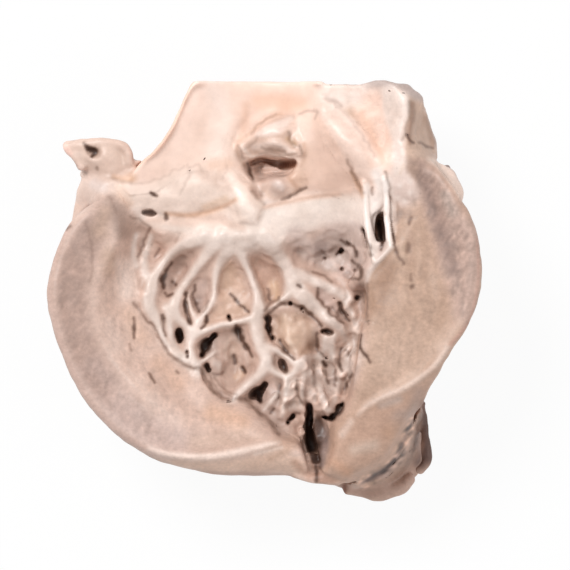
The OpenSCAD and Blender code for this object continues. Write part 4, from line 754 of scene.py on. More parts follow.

# the deep pits, browned down to near black, partly printed brown and partly painted shade
for points, depth in (
        ([(-23.2, -10.9, 0.7), (-23.1, -12.2, 0.95), (-22.9, -14, 0.5)], 5.0),
        ([(-20.9, -16.8, 0.5), (-20.7, -18.2, 0.55)], 2.0),
        ([(-9.7, -7.3, 0.5), (-9.3, -8.1, 0.45)], 2.4),
        ([(-16.9, -17.6, 0.8), (-15.7, -14.6, 1.1), (-13.4, -12.1, 0.6)], 4.5),
        ([(-15.3, -20.5, 0.7), (-14.8, -21.6, 0.6)], 3.0),
        ([(-3.3, -28.4, 0.6), (-1.6, -27, 0.8), (0.2, -25.8, 0.6)], 4.0),
        ([(-1.8, -28, 1), (-0.9, -30.1, 0.6)], 4.5),
        ([(6.5, -36, 0.7), (7.1, -34.9, 0.9), (7.9, -34.1, 0.5)], 3.2),
        ([(4.7, -19.5, 0.4), (5.3, -20.6, 0.65), (5.9, -21.9, 0.45)], 3.4),
        ([(0.9, -7.6, 0.5), (1.1, -9.8, 0.7), (2.1, -13.2, 0.45)], 3.4),
        ([(22.4, 12.9, 0.4), (23.2, 12.4, 0.5)], 1.6),
        ([(25, 10.2, 0.45), (25.2, 9.2, 0.4)], 1.8),
        ([(24.4, 5.4, 0.5)], 1.4),
        ([(21.2, 5.6, 0.35)], 1.2),
        ([(16.6, 8.6, 0.35)], 1.0),
        ([(7.1, -3.7, 0.6)], 2.4),
        ([(10.4, -4.9, 0.7)], 2.6),
        ([(15.9, -10.9, 0.6), (16.9, -11.1, 0.85), (18.1, -11.6, 0.5)], 3.0),
        ([(25.2, -2.2, 0.6)], 2.2),
        ([(19.8, 9.6, 0.45), (20.5, 10.4, 0.7), (20.9, 11.2, 0.4)], 2.2),
        ([(15.9, -34.3, 0.5), (17.6, -35.1, 0.7), (19.2, -33.8, 0.75), (20.5, -31.9, 0.8),
          (21.3, -30.5, 0.5)], 4.0)):
    pit(points, depth, 1.0)
# painted shade beside the cleft, and in the dark run down to it from the mesh above
shade[:] = np.maximum(shade, 0.6 * traced([(14.9, -34.4, 0.8), (15.4, -38, 0.7), (14.6, -43.4, 0.5)], 0.7,
        DOT))
shade[:] = np.maximum(shade, 0.45 * traced([(10.4, -27.4, 0.5), (11.4, -30.4, 0.6), (12.2, -32.2, 0.6)],
        0.8, DOT))

# the stepped edge where the lining of the front wall ends over the mesh
EDGE = [(-35, -3.4, 0.3), (-33.4, -6, 0.4), (-31.3, -8.6, 0.3), (-29.3, -11.1, 0.3), (-28, -13.6, 0.3),
        (-25.4, -17.4, 0.3), (-21, -20.6, 0.3), (-17.3, -21.6, 0.35), (-15.2, -24.8, 0.35),
        (-12.8, -28, 0.35), (-9, -29.9, 0.35), (-7.6, -29.6, 0.3), (-4.5, -29.9, 0.35), (-1.4, -32.8, 0.35),
        (1.2, -35, 0.35), (3.9, -38.8, 0.3)]
crease(EDGE, 0.6, 0.42)
crease(EDGE[6:], 0.8, 0.35, 0.5)
for k in (1.1, 2.1):
    crease([(x + 0.75 * k, y + 0.65 * k, 0.2) for x, y, _ in EDGE[7:11]], 0.4, 0.3)
sink([(-17.3, -22), (-15.2, -25.2), (-12.8, -28.4), (-9, -30.4), (-4.5, -30.4), (-1.4, -33.2), (1.2, -35.4),
      (4.4, -39.6), (2, -42), (-4, -38), (-12, -35), (-19, -29), (-21, -23)], -0.9, 0.8)
sink([(13, -33.2), (16, -34.6), (18.2, -38.4), (18.4, -43), (17, -47.4), (15.4, -49.8), (13.8, -48),
      (12.6, -41)], 3.4, 0.6)
pit([(12.4, -31.4, 0.6), (12.3, -34.2, 1), (12.3, -38, 1.3), (12.9, -42, 1.5), (13.9, -45.8, 1.4)], 6.5,
    1.0, shake=0.03)
# painted shade along the cleft, and darker washes down its grey inner wall, also painted shade
shade[:] = np.maximum(shade, traced([(12.5, -31.6, 0.6), (12.4, -35, 1), (12.5, -38.4, 1.2),
        (13.1, -42.4, 1.4), (14, -46, 1.2)], 0.4, DOT))
crease([(13.9, -47, 0.4), (14.1, -51.6, 0.35)], 2.0, 0.85)
wash([(15, -36, 0.9), (16.2, -39.6, 1.3), (16.4, -43.6, 1.2), (15.6, -47.2, 0.9)], "#8f7a74", 0.95, 0.8)
wash([(14, -35.4, 0.5), (14.6, -39.6, 0.7), (14.9, -43.6, 0.7), (14.9, -47.6, 0.7)], "#5f4c46", 0.9, 0.7)

# ---------------------------------------------------------------- the two cut walls
# The walls were opened like a book. Their cut face shows bare muscle, grey-mauve with fine
# fibres, between the tan lining and a thin pinkish rim of the heart's outer skin. They stand up
# from the floor as thick slopes of the same plaster.


def grain(outline, strength, seed, turn=0.0, soft=1.6):
    """flecks of lighter and darker ink inside an outline, drawn out along a direction"""
    part, layer = patch(outline, soft, DOT)
    flecks = np.random.default_rng(seed).normal(0, 1, SHEET).astype(np.float32)
    c, r = np.cos(np.radians(turn)), np.sin(np.radians(turn))
    drawn_out = sum(np.roll(flecks, (int(round(k * c)), int(round(k * r))), (0, 1)) for k in range(-2, 3))
    flecks = soften(drawn_out, 0.3, DOT)[part]
    paint[part] *= 1 + (strength * layer * flecks / flecks.std())[..., None]


# cut muscle, printed and sealed: near matt, sandy, with short fibres drawn across the cut
cut_muscle = printed("plaster_print_cut_muscle", 0.9, 0.10, 2.2, 0.09, (1, 1.8, 1), 0.52, 0.10)
tissue(cut_muscle, (0.4, 0.14, 0.06), anterior_wall_flap="#d9bcae")
tissue(cut_muscle, (0.4, 0.16, 0.06), posterior_wall_flap="#c9a793")
tissue(fat, (0.4, 0.5, 0.16), posterior_fat_lobe="#d0b5a9")
tissue(white_fibre, posterior_papillary_muscle="#dcc4bb")

# front wall: lining, then the cut face from the groove down to the apex
wash([(-41, 12, 3), (-41, 4, 4), (-40, -6, 5), (-37, -16, 5), (-31, -25, 5), (-22, -33, 5), (-12, -37, 4),
      (-3, -40, 3)], "#dec1b3", 0.9, 3.0)
wash([(-43, 22, 2), (-47.6, 14, 4.4), (-51.6, 4, 4.8), (-51.8, -6, 4.8), (-49, -16, 4.8),
      (-44.6, -24, 4.8)], "#b69a8e", 0.95, 2.4)
wash([(-46, -22, 3.6), (-41, -28.6, 4.8), (-37, -33, 4.4)], "#bfa59b", 0.85, 2.8)
wash([(-38.6, -32.4, 3.6), (-32, -37, 4.4), (-25, -40, 3.8), (-18, -41, 2.6)], "#c9b0a7", 0.9, 2.6)
wash([(-18, -41, 2.4), (-10, -40, 2.6), (-2, -39.6, 2.2)], "#ceb0a0", 0.85, 2.4)
wash([(-41.4, 24.4, 1.4), (-39.6, 20, 2.2), (-38.2, 15.6, 1.8)], "#ab9185", 0.85, 1.6)
wash([(-42.8, 21, 1.6), (-44.4, 16, 2.2)], "#bd9f8c", 0.6, 2.0)
for points, colour, strength in (
        ([(-41.6, 9.4, 2), (-41.8, 5.6, 1.8)], "#c6a794", 0.7),
        ([(-37.4, 6.4, 2.4), (-37, -0.4, 2.2)], "#ecd6cb", 0.85),
        ([(-36.8, -6.4, 1.8), (-33, -12.6, 2)], "#dbb8a4", 0.7),
        ([(-41.6, -9.4, 2), (-40, -15, 2.2)], "#dcc3b7", 0.6),
        ([(-28.6, -19.6, 2.2), (-23, -25, 2.4)], "#ddb9a5", 0.7),
        ([(-30, -30, 2), (-24, -34.4, 2)], "#dcc3b8", 0.6),
        ([(-14, -33, 2.2), (-6, -35.4, 2.2)], "#dcb59d", 0.75),
        ([(-33, -24.6, 1.2)], "#dfc6ba", 0.6),
        ([(2.6, -42.6, 2), (7.6, -41, 1.6)], "#d3b09b", 0.7)):
    wash(points, colour, strength, 2.0)
for points in (
        [(-40, -20), (-34, -27)],
        [(-42, -18), (-35, -26)],
        [(-37, -21), (-31, -28)],
        [(-36, -29), (-28, -35)],
        [(-33, -28), (-25, -34)],
        [(-44, -13), (-40, -20)]):
    wash([(x, y, 0.25) for x, y in points], "#e2cec5", 0.35, 0.5)
grain([(-41, 25), (-48, 20), (-56, 8), (-57, -6), (-50, -22), (-40, -35), (-28, -43), (-18, -43),
       (-30, -34), (-40, -22), (-45, -6), (-44, 8)], 0.03, 44, 60)
grain([(-38, 14), (-34, -4), (-26, -18), (-12, -32), (-2, -36), (-12, -40), (-28, -34), (-40, -16),
       (-44, 2)], 0.022, 45, 100)
grain([(-28, -46), (-10, -45), (6, -43), (12, -47), (12, -52), (-20, -50)], 0.03, 46, 5)
# the pale thin rim of outer skin, and the rolled edge towards the apex, painted pale along its top as a
# highlight
wash([(-51.4, 20, 0.5), (-54.2, 13, 0.6), (-57.2, 6, 0.6), (-57.8, 0, 0.6), (-56.4, -9, 0.6),
      (-52.4, -20, 0.7), (-49.2, -26.6, 0.7), (-44.2, -33.4, 0.8), (-38.4, -39.2, 0.9), (-34.4, -41.6, 1),
      (-29.6, -44, 0.9)], "#cfb1a5", 0.85, 0.8)
ridge([(-31, -42.8, 0.6), (-26.6, -44, 1), (-20, -44.8, 1.2), (-13, -44.6, 1.3), (-6, -43.2, 1.2),
       (0, -41.8, 1), (4, -41, 0.7)], 0.9, "#ead4c8", edge=0.6, strength=0.75)
sink([(-27, -45.8), (-20, -46.6), (-12, -46.4), (-5, -45), (1, -43.4), (7, -42.6), (12, -47), (13.6, -53),
      (0, -53), (-20, -51)], 0.8, 1.2)
wash([(-24, -46.6, 0.9), (-16, -47.6, 1.4), (-6, -47.4, 1.9), (2, -46.6, 2.4), (9, -47.6, 2.4)], "#e2c0ac",
     0.9, 1.2)
# painted shade: a darker diagonal, and a darker line along the bottom where the outer skin turns away from
# the light
wash([(1.6, -45.4, 0.6), (6.4, -43.2, 0.9)], "#bf9c87", 0.6, 1.0)
wash([(-20, -49, 0.4), (-10, -49.7, 0.5), (0, -49.9, 0.5), (8, -50.8, 0.5)], "#b58f7e", 0.7, 0.8)
wash([(8.4, -46.6, 0.9), (12.2, -50.6, 0.8)], "#b98f7a", 0.7, 1.1)
wash([(13.4, -46.4, 1.2), (14.6, -50.6, 1.4), (18.4, -51.2, 1.2)], "#b08a78", 0.85, 0.8)
wash([(-2.4, -44.2, 0.4), (4.8, -42.4, 0.4)], "#f0ddd2", 0.5, 0.4)
for points, depth, dark in (
        ([(-35.3, -7.8, 0.25), (-35.1, -10.4, 0.35), (-35, -12.8, 0.25)], 0.6, 0.7),
        ([(-36.4, -14.6, 0.25), (-35.8, -16, 0.2)], 0.3, 0.25),
        ([(-31, -22.6, 0.2), (-30.2, -24, 0.35), (-29.6, -25, 0.2)], 0.5, 0.6),
        ([(-47.9, 18, 0.2), (-46.5, 12.6, 0.2), (-46.2, 6.2, 0.2), (-46.6, 2.6, 0.2)], 0.25, 0.16),
        ([(-23.6, -21.9, 0.2), (-22.9, -22.4, 0.25)], 0.4, 0.5),
        ([(-53, 16.4, 0.3), (-52, 17.3, 0.4)], 0.7, 0.6),
        ([(-41.6, 25.2, 0.3), (-39.6, 20.6, 0.3)], 0.3, 0.15)):
    crease(points, depth, dark)
swell(-33.4, -6.6, 0.5, 0.9, 0.9)
swell(-36.0, 13.4, 0.7, 0.9, 0.8)

# back wall: a broad tan plane with a sharp pale crest at its left, and the speckled cut face
area([(34.2, 11.4), (29.4, 5.6), (28, 0), (28.2, -10), (29, -20), (27.4, -30), (33, -28.4), (39, -25.6),
      (44.8, -21), (48.6, -14), (49.6, -4), (47.4, 4), (45.4, 11), (44, 18), (41.6, 22), (38, 20),
      (36, 15)], "#c0a08c", 0.95, 1.2)
area([(29, -14), (28.6, -22), (28, -29.4), (34, -27.2), (40, -24.2), (44.4, -20), (46.8, -12), (44, -8),
      (36, -10)], "#d0b19e", 0.85, 2.6)
wash([(33.4, 6.4, 2.2), (31.4, 1.4, 2.4), (30.6, -4.6, 1.6)], "#a8856f", 0.8, 1.8)
area([(38.6, 37.2), (41.6, 36.2), (45.4, 33.4), (49.6, 28), (52.6, 22.6), (55.6, 18.6), (57.8, 13.6),
      (57.8, 5), (56.8, -3), (54.8, -9.6), (51.8, -9.4), (50, -2), (47.6, 5), (46, 11), (44.4, 17),
      (43.2, 22), (41.4, 27), (39, 31.6)], "#b99d91", 0.95, 1.1)
wash([(41.6, 32.6, 1.2), (43.8, 26.6, 1.5), (46, 19.6, 1.6), (48.8, 12.4, 1.6), (51.2, 5, 1.4)], "#967c72",
     0.7, 1.6)
wash([(48.6, 25.4, 1.2), (50.6, 20.6, 1.3)], "#bcaba2", 0.6, 1.4)
wash([(44.6, 35.2, 0.8), (48.2, 33, 1.3), (51.4, 29, 1.5), (53.6, 25, 1.2)], "#f2d9cb", 0.97, 0.9)
ridge([(44.6, 35.4, 1.2), (48.2, 33, 1.8), (51.4, 29, 2), (53.4, 25, 1.7)], 0.8, edge=0.8)
wash([(52.4, -8.6, 1.2), (50.2, -12.4, 1.2), (46.8, -18.2, 1)], "#d3b5a4", 0.7, 1.2)
wash([(57.2, 14, 0.3), (57.4, 4, 0.3), (56.4, -4, 0.3), (54.4, -9.4, 0.4), (50, -14.6, 0.4)], "#c99a8b",
     0.6, 0.5)
ridge([(34.1, 11.8, 0.6), (31.4, 8.6, 0.7), (28.4, 5.2, 0.7), (27.6, 2.4, 0.5)], 1.5, "#ebdcd4",
      "posterior_papillary_muscle")
wash([(29.4, 6.6, 0.7), (28.4, 4.6, 0.5)], "#d9c3b8", 0.8, 0.6)
crease([(27.9, 1.6, 0.25), (27.7, -3.6, 0.25), (27.9, -8.6, 0.2)], 0.5, 0.3)
area([(35, 29.8), (37.4, 30.4), (40, 28.8), (41.8, 26), (41.4, 23.6), (38.6, 22.4), (35.6, 22.6),
      (34.8, 26)], "#d8c0b6", 0.9, 1.1)
area([(38.4, 36), (40.8, 36), (42, 32), (41, 29.6), (39.6, 30.6), (38.4, 33)], "#a5897a", 0.85, 0.8)
for x, y, rise, size in ((36.8, 27.8, 0.9, 1.5), (39.6, 25.9, 0.8, 1.5), (36.2, 24.4, 0.6, 1.2),
                         (39.6, 28.8, 0.5, 1.1), (38, 23.6, 0.5, 1)):
    swell(x, y, rise, size, size * 0.9)
    wash([(x - 0.3, y + 0.3, 0.6)], "#efe0d8", 0.7, 0.9)
# painted shade under the lumps
wash([(36.4, 20.6, 1.2), (38.8, 20.2, 1)], "#b09689", 0.7, 1.1)
for points, colour in (
        ([(36.9, 18.6, 0.4), (37.2, 8, 0.5)], "#cbad9a"),
        ([(41.4, 16, 0.5), (41.4, 4, 0.6)], "#cdaf9d"),
        ([(39.2, 15.4, 0.8), (39.4, 8, 0.9)], "#b59685"),
        ([(44.2, 8, 0.6), (46.4, -2, 0.8)], "#c9ab9a"),
        ([(35.8, 12, 0.4), (38, 5.4, 0.4)], "#c9aa97"),
        ([(43.2, 4, 0.6), (44.6, -8, 0.8)], "#b99a87")):
    wash(points, colour, 0.55, 0.9)
for points, depth, dark in (
        ([(39.3, 19.4, 0.45), (39.2, 17.6, 0.4)], 0.7, 0.45),
        ([(38.6, 12.2, 0.5), (38.9, 10.4, 0.5)], 0.6, 0.35),
        ([(39.4, 4.2, 0.3), (39.5, 3, 0.35)], 0.4, 0.35),
        ([(39.5, 0.9, 0.5)], 0.5, 0.5),
        ([(34.9, 12, 0.25), (36.2, 9.4, 0.3), (37.4, 6.8, 0.2)], 0.6, 0.6),
        ([(38.2, 24.4, 0.3), (39.6, 24, 0.3)], 0.4, 0.12),
        ([(39.4, 26.6, 0.25), (40.6, 22.6, 0.3)], 0.3, 0.1)):
    crease(points, depth, dark)
grain([(40, 38), (46, 33), (52, 25), (57, 15), (57.6, 3), (54.6, -8), (50, -6), (46, 8), (43, 20),
       (40, 30)], 0.055, 41, 65)
grain([(29, 8), (36, 14), (44, 14), (48, 0), (48, -14), (44, -20), (34, -27), (28, -28)], 0.022, 42, 80)
grain([(24, -36), (34, -30), (43, -27), (43, -36), (37, -46), (28, -54), (20, -50)], 0.03, 43, 35)
# the ridge over the apex, painted pale along its top as a highlight, and the outer skin that rolls down from
# it
ridge([(25.4, -33.6, 0.7), (27.4, -31.4, 0.9), (32, -28.8, 1), (37.2, -26.6, 1.1), (42.4, -23.2, 1),
       (46.2, -19.8, 0.8), (49.4, -15.4, 0.6)], 1.0, "#e0c8bb", edge=0.6, strength=0.85)
area([(22.6, -36), (26.4, -33), (32, -30.4), (38, -27.8), (43, -24.6), (46.4, -21), (44, -28), (42.6, -35),
      (40, -41), (36.6, -46.4), (31, -51), (27, -54.6), (22, -52), (18.4, -51.4), (16.6, -46), (19, -41)],
     "#c7a38f", 0.95, 1.0)
# painted sheen: a grey-blue reflection just under the pale ridge
wash([(31.6, -31, 0.9), (36.2, -29.4, 1)], "#b7a59d", 0.65, 1.1)
wash([(41.4, -27.4, 1.4), (39.8, -32.6, 1.5), (36, -33.6, 1.4)], "#b79c90", 0.75, 1.8)
wash([(24.4, -43, 1.3), (29.6, -41.8, 1.3)], "#dcc3b3", 0.75, 1.6)
wash([(21, -38.8, 1), (23.4, -35.4, 0.8)], "#e2cabd", 0.7, 1.0)
wash([(19.2, -46.6, 1), (22.6, -49.2, 1.4)], "#cfa084", 0.6, 1.6)
wash([(33.6, -38.4, 1.6)], "#c89d82", 0.5, 1.8)
wash([(26.6, -52.4, 0.4), (29.6, -50.8, 0.8), (32.8, -48.8, 0.8), (35.2, -46.2, 0.5), (37.2, -42.4, 0.45),
      (38.8, -38.2, 0.4), (40.4, -35.2, 0.3)], "#7a635b", 0.9, 0.7)
wash([(28, -51.7, 0.4), (30.6, -50.2, 0.8), (33, -48.5, 0.6), (35.4, -45.9, 0.4)], "#4f3d38", 0.85, 0.5)
wash([(41.4, -34.4, 0.5), (40.4, -41, 0.9), (38, -46.6, 1.6), (33.4, -52.2, 1.3), (28.6, -54.8, 0.8)],
     "#b59787", 0.85, 1.0)
wash([(39.4, -50.4, 1.8), (35.4, -53.4, 2.2), (29.6, -55, 1.6), (24, -54.6, 1)], "#caa797", 0.9, 1.1)
wash([(43.6, -31, 0.9), (44, -37, 1.3), (44.4, -43, 1.3), (42.6, -47.2, 1.3)], "#62473e", 1.0, 1.9)
wash([(44.9, -35, 1.2), (45.6, -41, 1.4), (45, -46, 1.2)], "#62473e", 1.0, 1.6)
wash([(41.8, -37.8, 0.5), (42, -41.4, 0.8), (42.4, -43.6, 0.5)], "#b3988d", 0.8, 0.7)
crease([(42.4, -33.4, 0.4), (41.6, -38.4, 0.5), (40.6, -44, 0.5)], 0.8, 0.3, 0.5)
# painted shade on the face of the notch
wash([(21.8, -53.4, 0.6), (21.8, -55.6, 0.6)], "#8d5c4b", 0.8, 0.6)
level([(23, -54.5), (24, -50), (30, -47.5), (34.5, -43.5), (37.5, -38), (39.5, -33), (43.5, -31), (44, -36),
       (42.5, -43), (39.5, -48.5), (34, -52.5), (28, -55)], 4.0, 2.8, 1.0, True)
grain([(25, -53.4), (26.4, -50.6), (31, -48.6), (35, -44.6), (38, -38), (40, -34), (41.4, -35), (40, -41),
       (37, -47), (32.6, -51.4), (27.4, -54)], 0.2, 61, 35, 0.5)
NOTCH = [(19.6, -56.6, 1.9), (20.2, -55, 1)]

# ---------------------------------------------------------------- aorta and its valve
# The aorta was slit and spread: a smooth salmon sheet over the root. Two crumpled cusps
# frame a dark opening, and the wall behind them sinks to a shallow sinus. In the print the
# sheet is a stiff wall a few millimetres thick that grows out of the root.

# artery wall, printed salmon and sealed: even and close, faint ribs across, soft sheen
artery_wall = printed("plaster_print_artery_wall", 1.2, 0.03, 5.0, 0.04, (1, 2.2, 1), 0.46, 0.04)
tissue(artery_wall, (0.2, 0.06, 0.02), aortic_wall="#fbdccd")
tissue(fat, (0.25, 0.12, 0.05), aortic_root="#fadccd")
tissue(white_fibre, (0.2, 0.3, 0.2), right_coronary_cusp="#fae4da")
tissue(white_fibre, left_coronary_cusp="#edd3c8")
tissue(fat, (0.2, 0.3, 0.2), noncoronary_cusp="#f3d9cc")

level([(10, 29), (10, 58), (30, 58), (33, 48), (31, 38), (30, 29), (24, 24), (12, 26)], 5.4, 2.4, 1.6)
level([(-37, 33), (-29, 40), (-24, 49), (-20, 59), (12, 59), (13, 50), (4, 49), (-4, 46), (-8, 40),
       (-8, 33), (-12, 30), (-24, 32)], 5.4, 3.4, 1.6)
level([(-8, 24), (-9, 37), (-3, 46), (4, 49), (11, 48), (14, 40), (14, 29), (8, 23), (0, 21)], 0.9, 0.8)
sink([(25.4, 51.6), (29, 53.6), (33.4, 52.4), (35.4, 46), (34.8, 38), (33.4, 33.6), (31, 35), (28, 40.6),
      (25.6, 46)], 1.3, 1.0)
sink([(39.6, 51.4), (44.4, 50.6), (46.8, 44), (48.6, 37), (42, 37), (39, 36.4), (38.4, 42), (39.8, 46)],
     1.3, 0.5)
sink([(-3.6, 52.6), (5, 53), (12.6, 52), (13.2, 48.2), (8, 48.2), (1, 46.8), (-3.8, 43.8), (-6.4, 40.4),
      (-6.6, 46)], 1.1, 1.5)
swell(17.5, 35, 1.2, 5.0, 8.0)
area([(-34, 34), (-27, 39), (-22, 48), (-17, 57), (14, 56), (14, 40), (14, 28), (6, 24), (-2, 26), (-8, 30),
      (-16, 33), (-26, 32)], "#f9dccd", 0.9, 1.0)
wash([(-31, 35.4, 1.2), (-26, 40, 1.6), (-22, 46, 2), (-18.6, 52, 2)], "#fbdccd", 0.85, 2.4)
wash([(-34.6, 33.4, 0.5), (-29.6, 37.2, 0.6), (-25.8, 41.8, 0.6), (-22.6, 48.4, 0.6), (-19.4, 57, 0.6)],
     "#eebfa8", 0.85, 0.8)
wash([(-13, 54, 2.4), (-11, 46, 3), (-13, 38, 3)], "#fce7dc", 0.8, 2.6)
# painted shade: the sinus recess a darker salmon, with a soft shadow line along its left edge
wash([(-1.6, 51, 1.8), (5, 50.4, 2.4), (10, 50.2, 1.6)], "#f5ceb8", 0.85, 1.8)
wash([(-4.8, 50, 0.8), (-5.4, 44, 0.8), (-7.4, 39, 0.8)], "#f1cbb6", 0.7, 1.2)
wash([(-14, 33.6, 1.2), (-9.6, 34.2, 1.4)], "#f0cdb8", 0.6, 1.4)
wash([(-8.6, 31, 1.2), (-6.6, 27.4, 1)], "#f7e2d6", 0.8, 1.4)
level([(-8.6, 36), (-6.6, 43), (-0.6, 48.4), (8, 50), (12.6, 46), (13, 38), (10.8, 37.4), (8.4, 38),
       (4.2, 36.6), (0.8, 38), (-3.4, 36), (-5, 35.6)], 2.2, 0.7, 0.6)
# the upper cusp, crumpled, with a white flap that points to the upper right
area([(-6.6, 38.6), (-5.2, 40.2), (-2.6, 42), (0.6, 45), (4.4, 46.8), (8.6, 47.4), (8, 45), (6.6, 43),
      (8.8, 40.6), (10.6, 38.4), (10.4, 36), (8.4, 36.8), (4.2, 35.2), (0.8, 36.8), (-3.4, 34.8),
      (-4.4, 36.4)], "#dcbcab", 0.95, 0.5)
wash([(-1.4, 42, 0.9), (3.2, 43.4, 1.6), (6.8, 46.2, 0.7)], "#ead3c8", 0.9, 0.7)
wash([(6.4, 40.8, 0.6), (8.2, 39.4, 0.6)], "#dcb594", 0.8, 0.7)
# painted shadow, brown-grey, at the cusp's left
wash([(-7.4, 37.8, 0.6), (-6.6, 35.6, 0.6), (-5.4, 33.8, 0.5)], "#b99682", 0.8, 0.8)
wash([(-2.4, 37.6, 0.4), (0.6, 38.6, 0.4), (3.4, 37.9, 0.4), (6.4, 38, 0.4)], "#cfae9a", 0.75, 0.6)
# painted shade, brown, at the cusp's right
wash([(10.8, 39.2, 0.5), (11.2, 36.2, 0.6), (10.2, 33.6, 0.5)], "#c79f87", 0.7, 0.7)
# painted shade: a thin tan line along the cusp's upper left outline
wash([(-6.2, 40.4, 0.3), (-3.6, 42.6, 0.3), (0.2, 45.8, 0.3), (4.6, 47.7, 0.3)], "#e2bfa9", 0.8, 0.5)
wash([(0.6, 43.4, 0.9), (4.4, 44.6, 1), (7.4, 46, 0.6)], "#f3ddd1", 0.85, 0.6)
wash([(-6.2, 38.6, 0.5), (-3, 36, 0.4), (0.9, 37.3, 0.4), (4.2, 36.2, 0.5), (8, 37.2, 0.4)], "#f3ddd0", 0.8,
     0.5)
wash([(-2.6, 38.4, 0.8), (2.4, 39.2, 1), (6.2, 38, 0.8)], "#e6cfc4", 0.8, 0.9)
for points, rise in (
        ([(-6.3, 38.7, 0.9), (-5.2, 37.2, 0.8), (-4.2, 36, 0.7)], 1.7),
        ([(-5.8, 39.4, 0.7), (-3.4, 41.4, 0.8), (0.6, 44.6, 0.8), (4.6, 46.2, 0.9), (8.2, 47, 0.6)], 1.2),
        ([(-3.8, 35.3, 0.7), (-1.4, 36.3, 0.9), (0.9, 37.5, 0.8), (3.2, 36.4, 0.9), (5, 36.2, 0.8),
          (7.6, 37.3, 0.9), (10.2, 36.9, 0.7)], 1.9),
        ([(8.4, 46.6, 0.9), (7, 44.2, 1.1), (5.6, 42.2, 1), (2.6, 42.8, 1.6), (-0.6, 41.8, 1)], 1.2),
        ([(0.6, 39.6, 0.9), (3.6, 39.6, 0.9), (6.2, 38.6, 0.7)], 0.9),
        ([(8.6, 41.4, 0.6), (9.8, 39.2, 0.7), (10.8, 37.2, 0.6)], 1.0),
        ([(-8.4, 37.6, 0.5), (-8.2, 35.4, 0.5)], 0.4),
        ([(-1.8, 37.6, 0.4), (0.6, 39.4, 0.5)], 0.4),
        ([(2.8, 36.8, 0.4), (3.6, 38.8, 0.4)], 0.4),
        ([(9.6, 40.4, 0.5), (10.8, 38, 0.5)], 0.5)):
    ridge(points, rise)
for points, depth, dark in (
        ([(-5, 37.8, 0.2), (-3, 39.6, 0.25), (-1.4, 41.2, 0.2)], 0.3, 0.18),
        ([(-0.6, 38.2, 0.2), (2, 38, 0.3), (5.6, 37.2, 0.2)], 0.4, 0.3),
        ([(6.6, 42.6, 0.2), (7, 40.4, 0.3), (8.6, 38.6, 0.2)], 0.4, 0.35),
        ([(9.6, 47.8, 0.15), (12, 48.3, 0.2), (14.2, 47.7, 0.15), (13.5, 45.9, 0.2)], 0.35, 0.22),
        ([(9.8, 38.6, 0.25), (10.2, 36.6, 0.3)], 0.5, 0.45),
        ([(-7, 39, 0.3), (-5.2, 35.6, 0.4)], 0.4, 0.3),
        ([(-3.4, 42.2, 0.2), (-1, 45, 0.2), (3.2, 47.4, 0.2)], 0.3, 0.2)):
    crease(points, depth, dark)
# the valve's opening: its brown washes and the dark crack at its left are painted shade in the hole
pit([(-3.4, 34.2, 0.5), (-0.8, 35, 0.8), (2.6, 34.4, 1), (5.6, 33.8, 1.4), (8, 34.4, 1.2)], 3.2, 0.1,
    shake=0.06)
wash([(-2.6, 34.2, 0.4), (0.4, 34.8, 0.6), (3, 33.8, 0.6)], "#a37c6a", 0.9, 0.5)
wash([(4.8, 33.6, 0.9), (7.8, 34, 1.1)], "#85543f", 0.95, 0.6)
wash([(-3.4, 34.6, 0.5), (-0.6, 35.4, 0.5), (2.6, 34.8, 0.5)], "#b1836c", 0.8, 0.5)
# painted shade, mauve-beige, under the opening
wash([(-2.2, 31.6, 0.9), (0, 29, 1.2), (-0.6, 25.6, 0.8)], "#cfb0a1", 0.85, 0.9)
wash([(-1.2, 33, 0.5), (-0.8, 30.8, 0.5)], "#dcc7bd", 0.6, 0.6)
crease([(-4.4, 34.4, 0.3), (-3.7, 31.6, 0.4), (-3.1, 29.8, 0.3)], 1.0, 0.75)
crease([(-3, 29.6, 0.4), (-1.8, 27.4, 0.4), (-0.8, 25.6, 0.4)], 0.8, 0.2, 0.6)
# the lower cusp, a pale lump with a crease under it
area([(1, 31.4), (3.4, 32.2), (5.8, 31), (6.4, 28.6), (5.6, 26.6), (4, 25.2), (1.6, 26), (0.8, 28.6)],
     "#d0b4a7", 0.9, 0.7)
ridge([(2.4, 31, 1.2), (3.6, 29.2, 1.5), (4.6, 27, 1.3)], 0.8, piece="right_coronary_cusp")
area([(6.4, 31.6), (9.6, 33), (13, 31.4), (12.6, 28.8), (9, 26.4), (6.8, 28)], "#d9b39d", 0.8, 1.0)
wash([(7, 30, 0.5), (8.6, 28, 0.5)], "#b98d74", 0.6, 0.7)
wash([(9.6, 31.8, 0.5), (11.4, 30, 0.5), (9.8, 28.8, 0.4)], "#e3c2ae", 0.6, 0.6)
wash([(3.6, 28.4, 1.2), (5, 27.4, 0.7)], "#ddc8bf", 0.8, 0.7)
# painted shade at the left of the lower cusp
wash([(-3.4, 27.4, 0.7), (-1.6, 25.2, 0.7)], "#bf9f8f", 0.6, 0.8)
wash([(0.4, 26.6, 0.7), (2.4, 24.8, 0.6), (5.2, 24.6, 0.5)], "#e2c2b0", 0.6, 0.7)
ridge([(7.4, 31.4, 0.5), (9.4, 30.4, 0.6), (11.6, 30.6, 0.5)], 0.5)
ridge([(6.6, 26.2, 0.4), (9.2, 26.9, 0.5), (11.8, 28.2, 0.4)], 0.4)
crease([(5, 24.4, 0.2), (8, 25.7, 0.3), (9.4, 26.9, 0.3), (11.5, 27.8, 0.2)], 0.8, 0.55)
wash([(12.4, 37.6, 1.6), (11.6, 33.6, 1.4)], "#efcdb9", 0.7, 1.6)

# ---------------------------------------------------------------- mitral leaflets and cords
# The front leaflet hangs from the curtain behind the aorta and is held by tough white
# cords that run down to the papillary muscle, with dark gaps between them. Printed, they are
# stiff struts, fused at both ends.

tissue(artery_wall, (0.3, 0.18, 0.05), aortomitral_curtain="#f8dccd")
tissue(white_fibre, mitral_anterior_leaflet="#fae3d8", mitral_posterior_leaflet="#eed9cf",
       chordae_tendineae="#efdfd7")

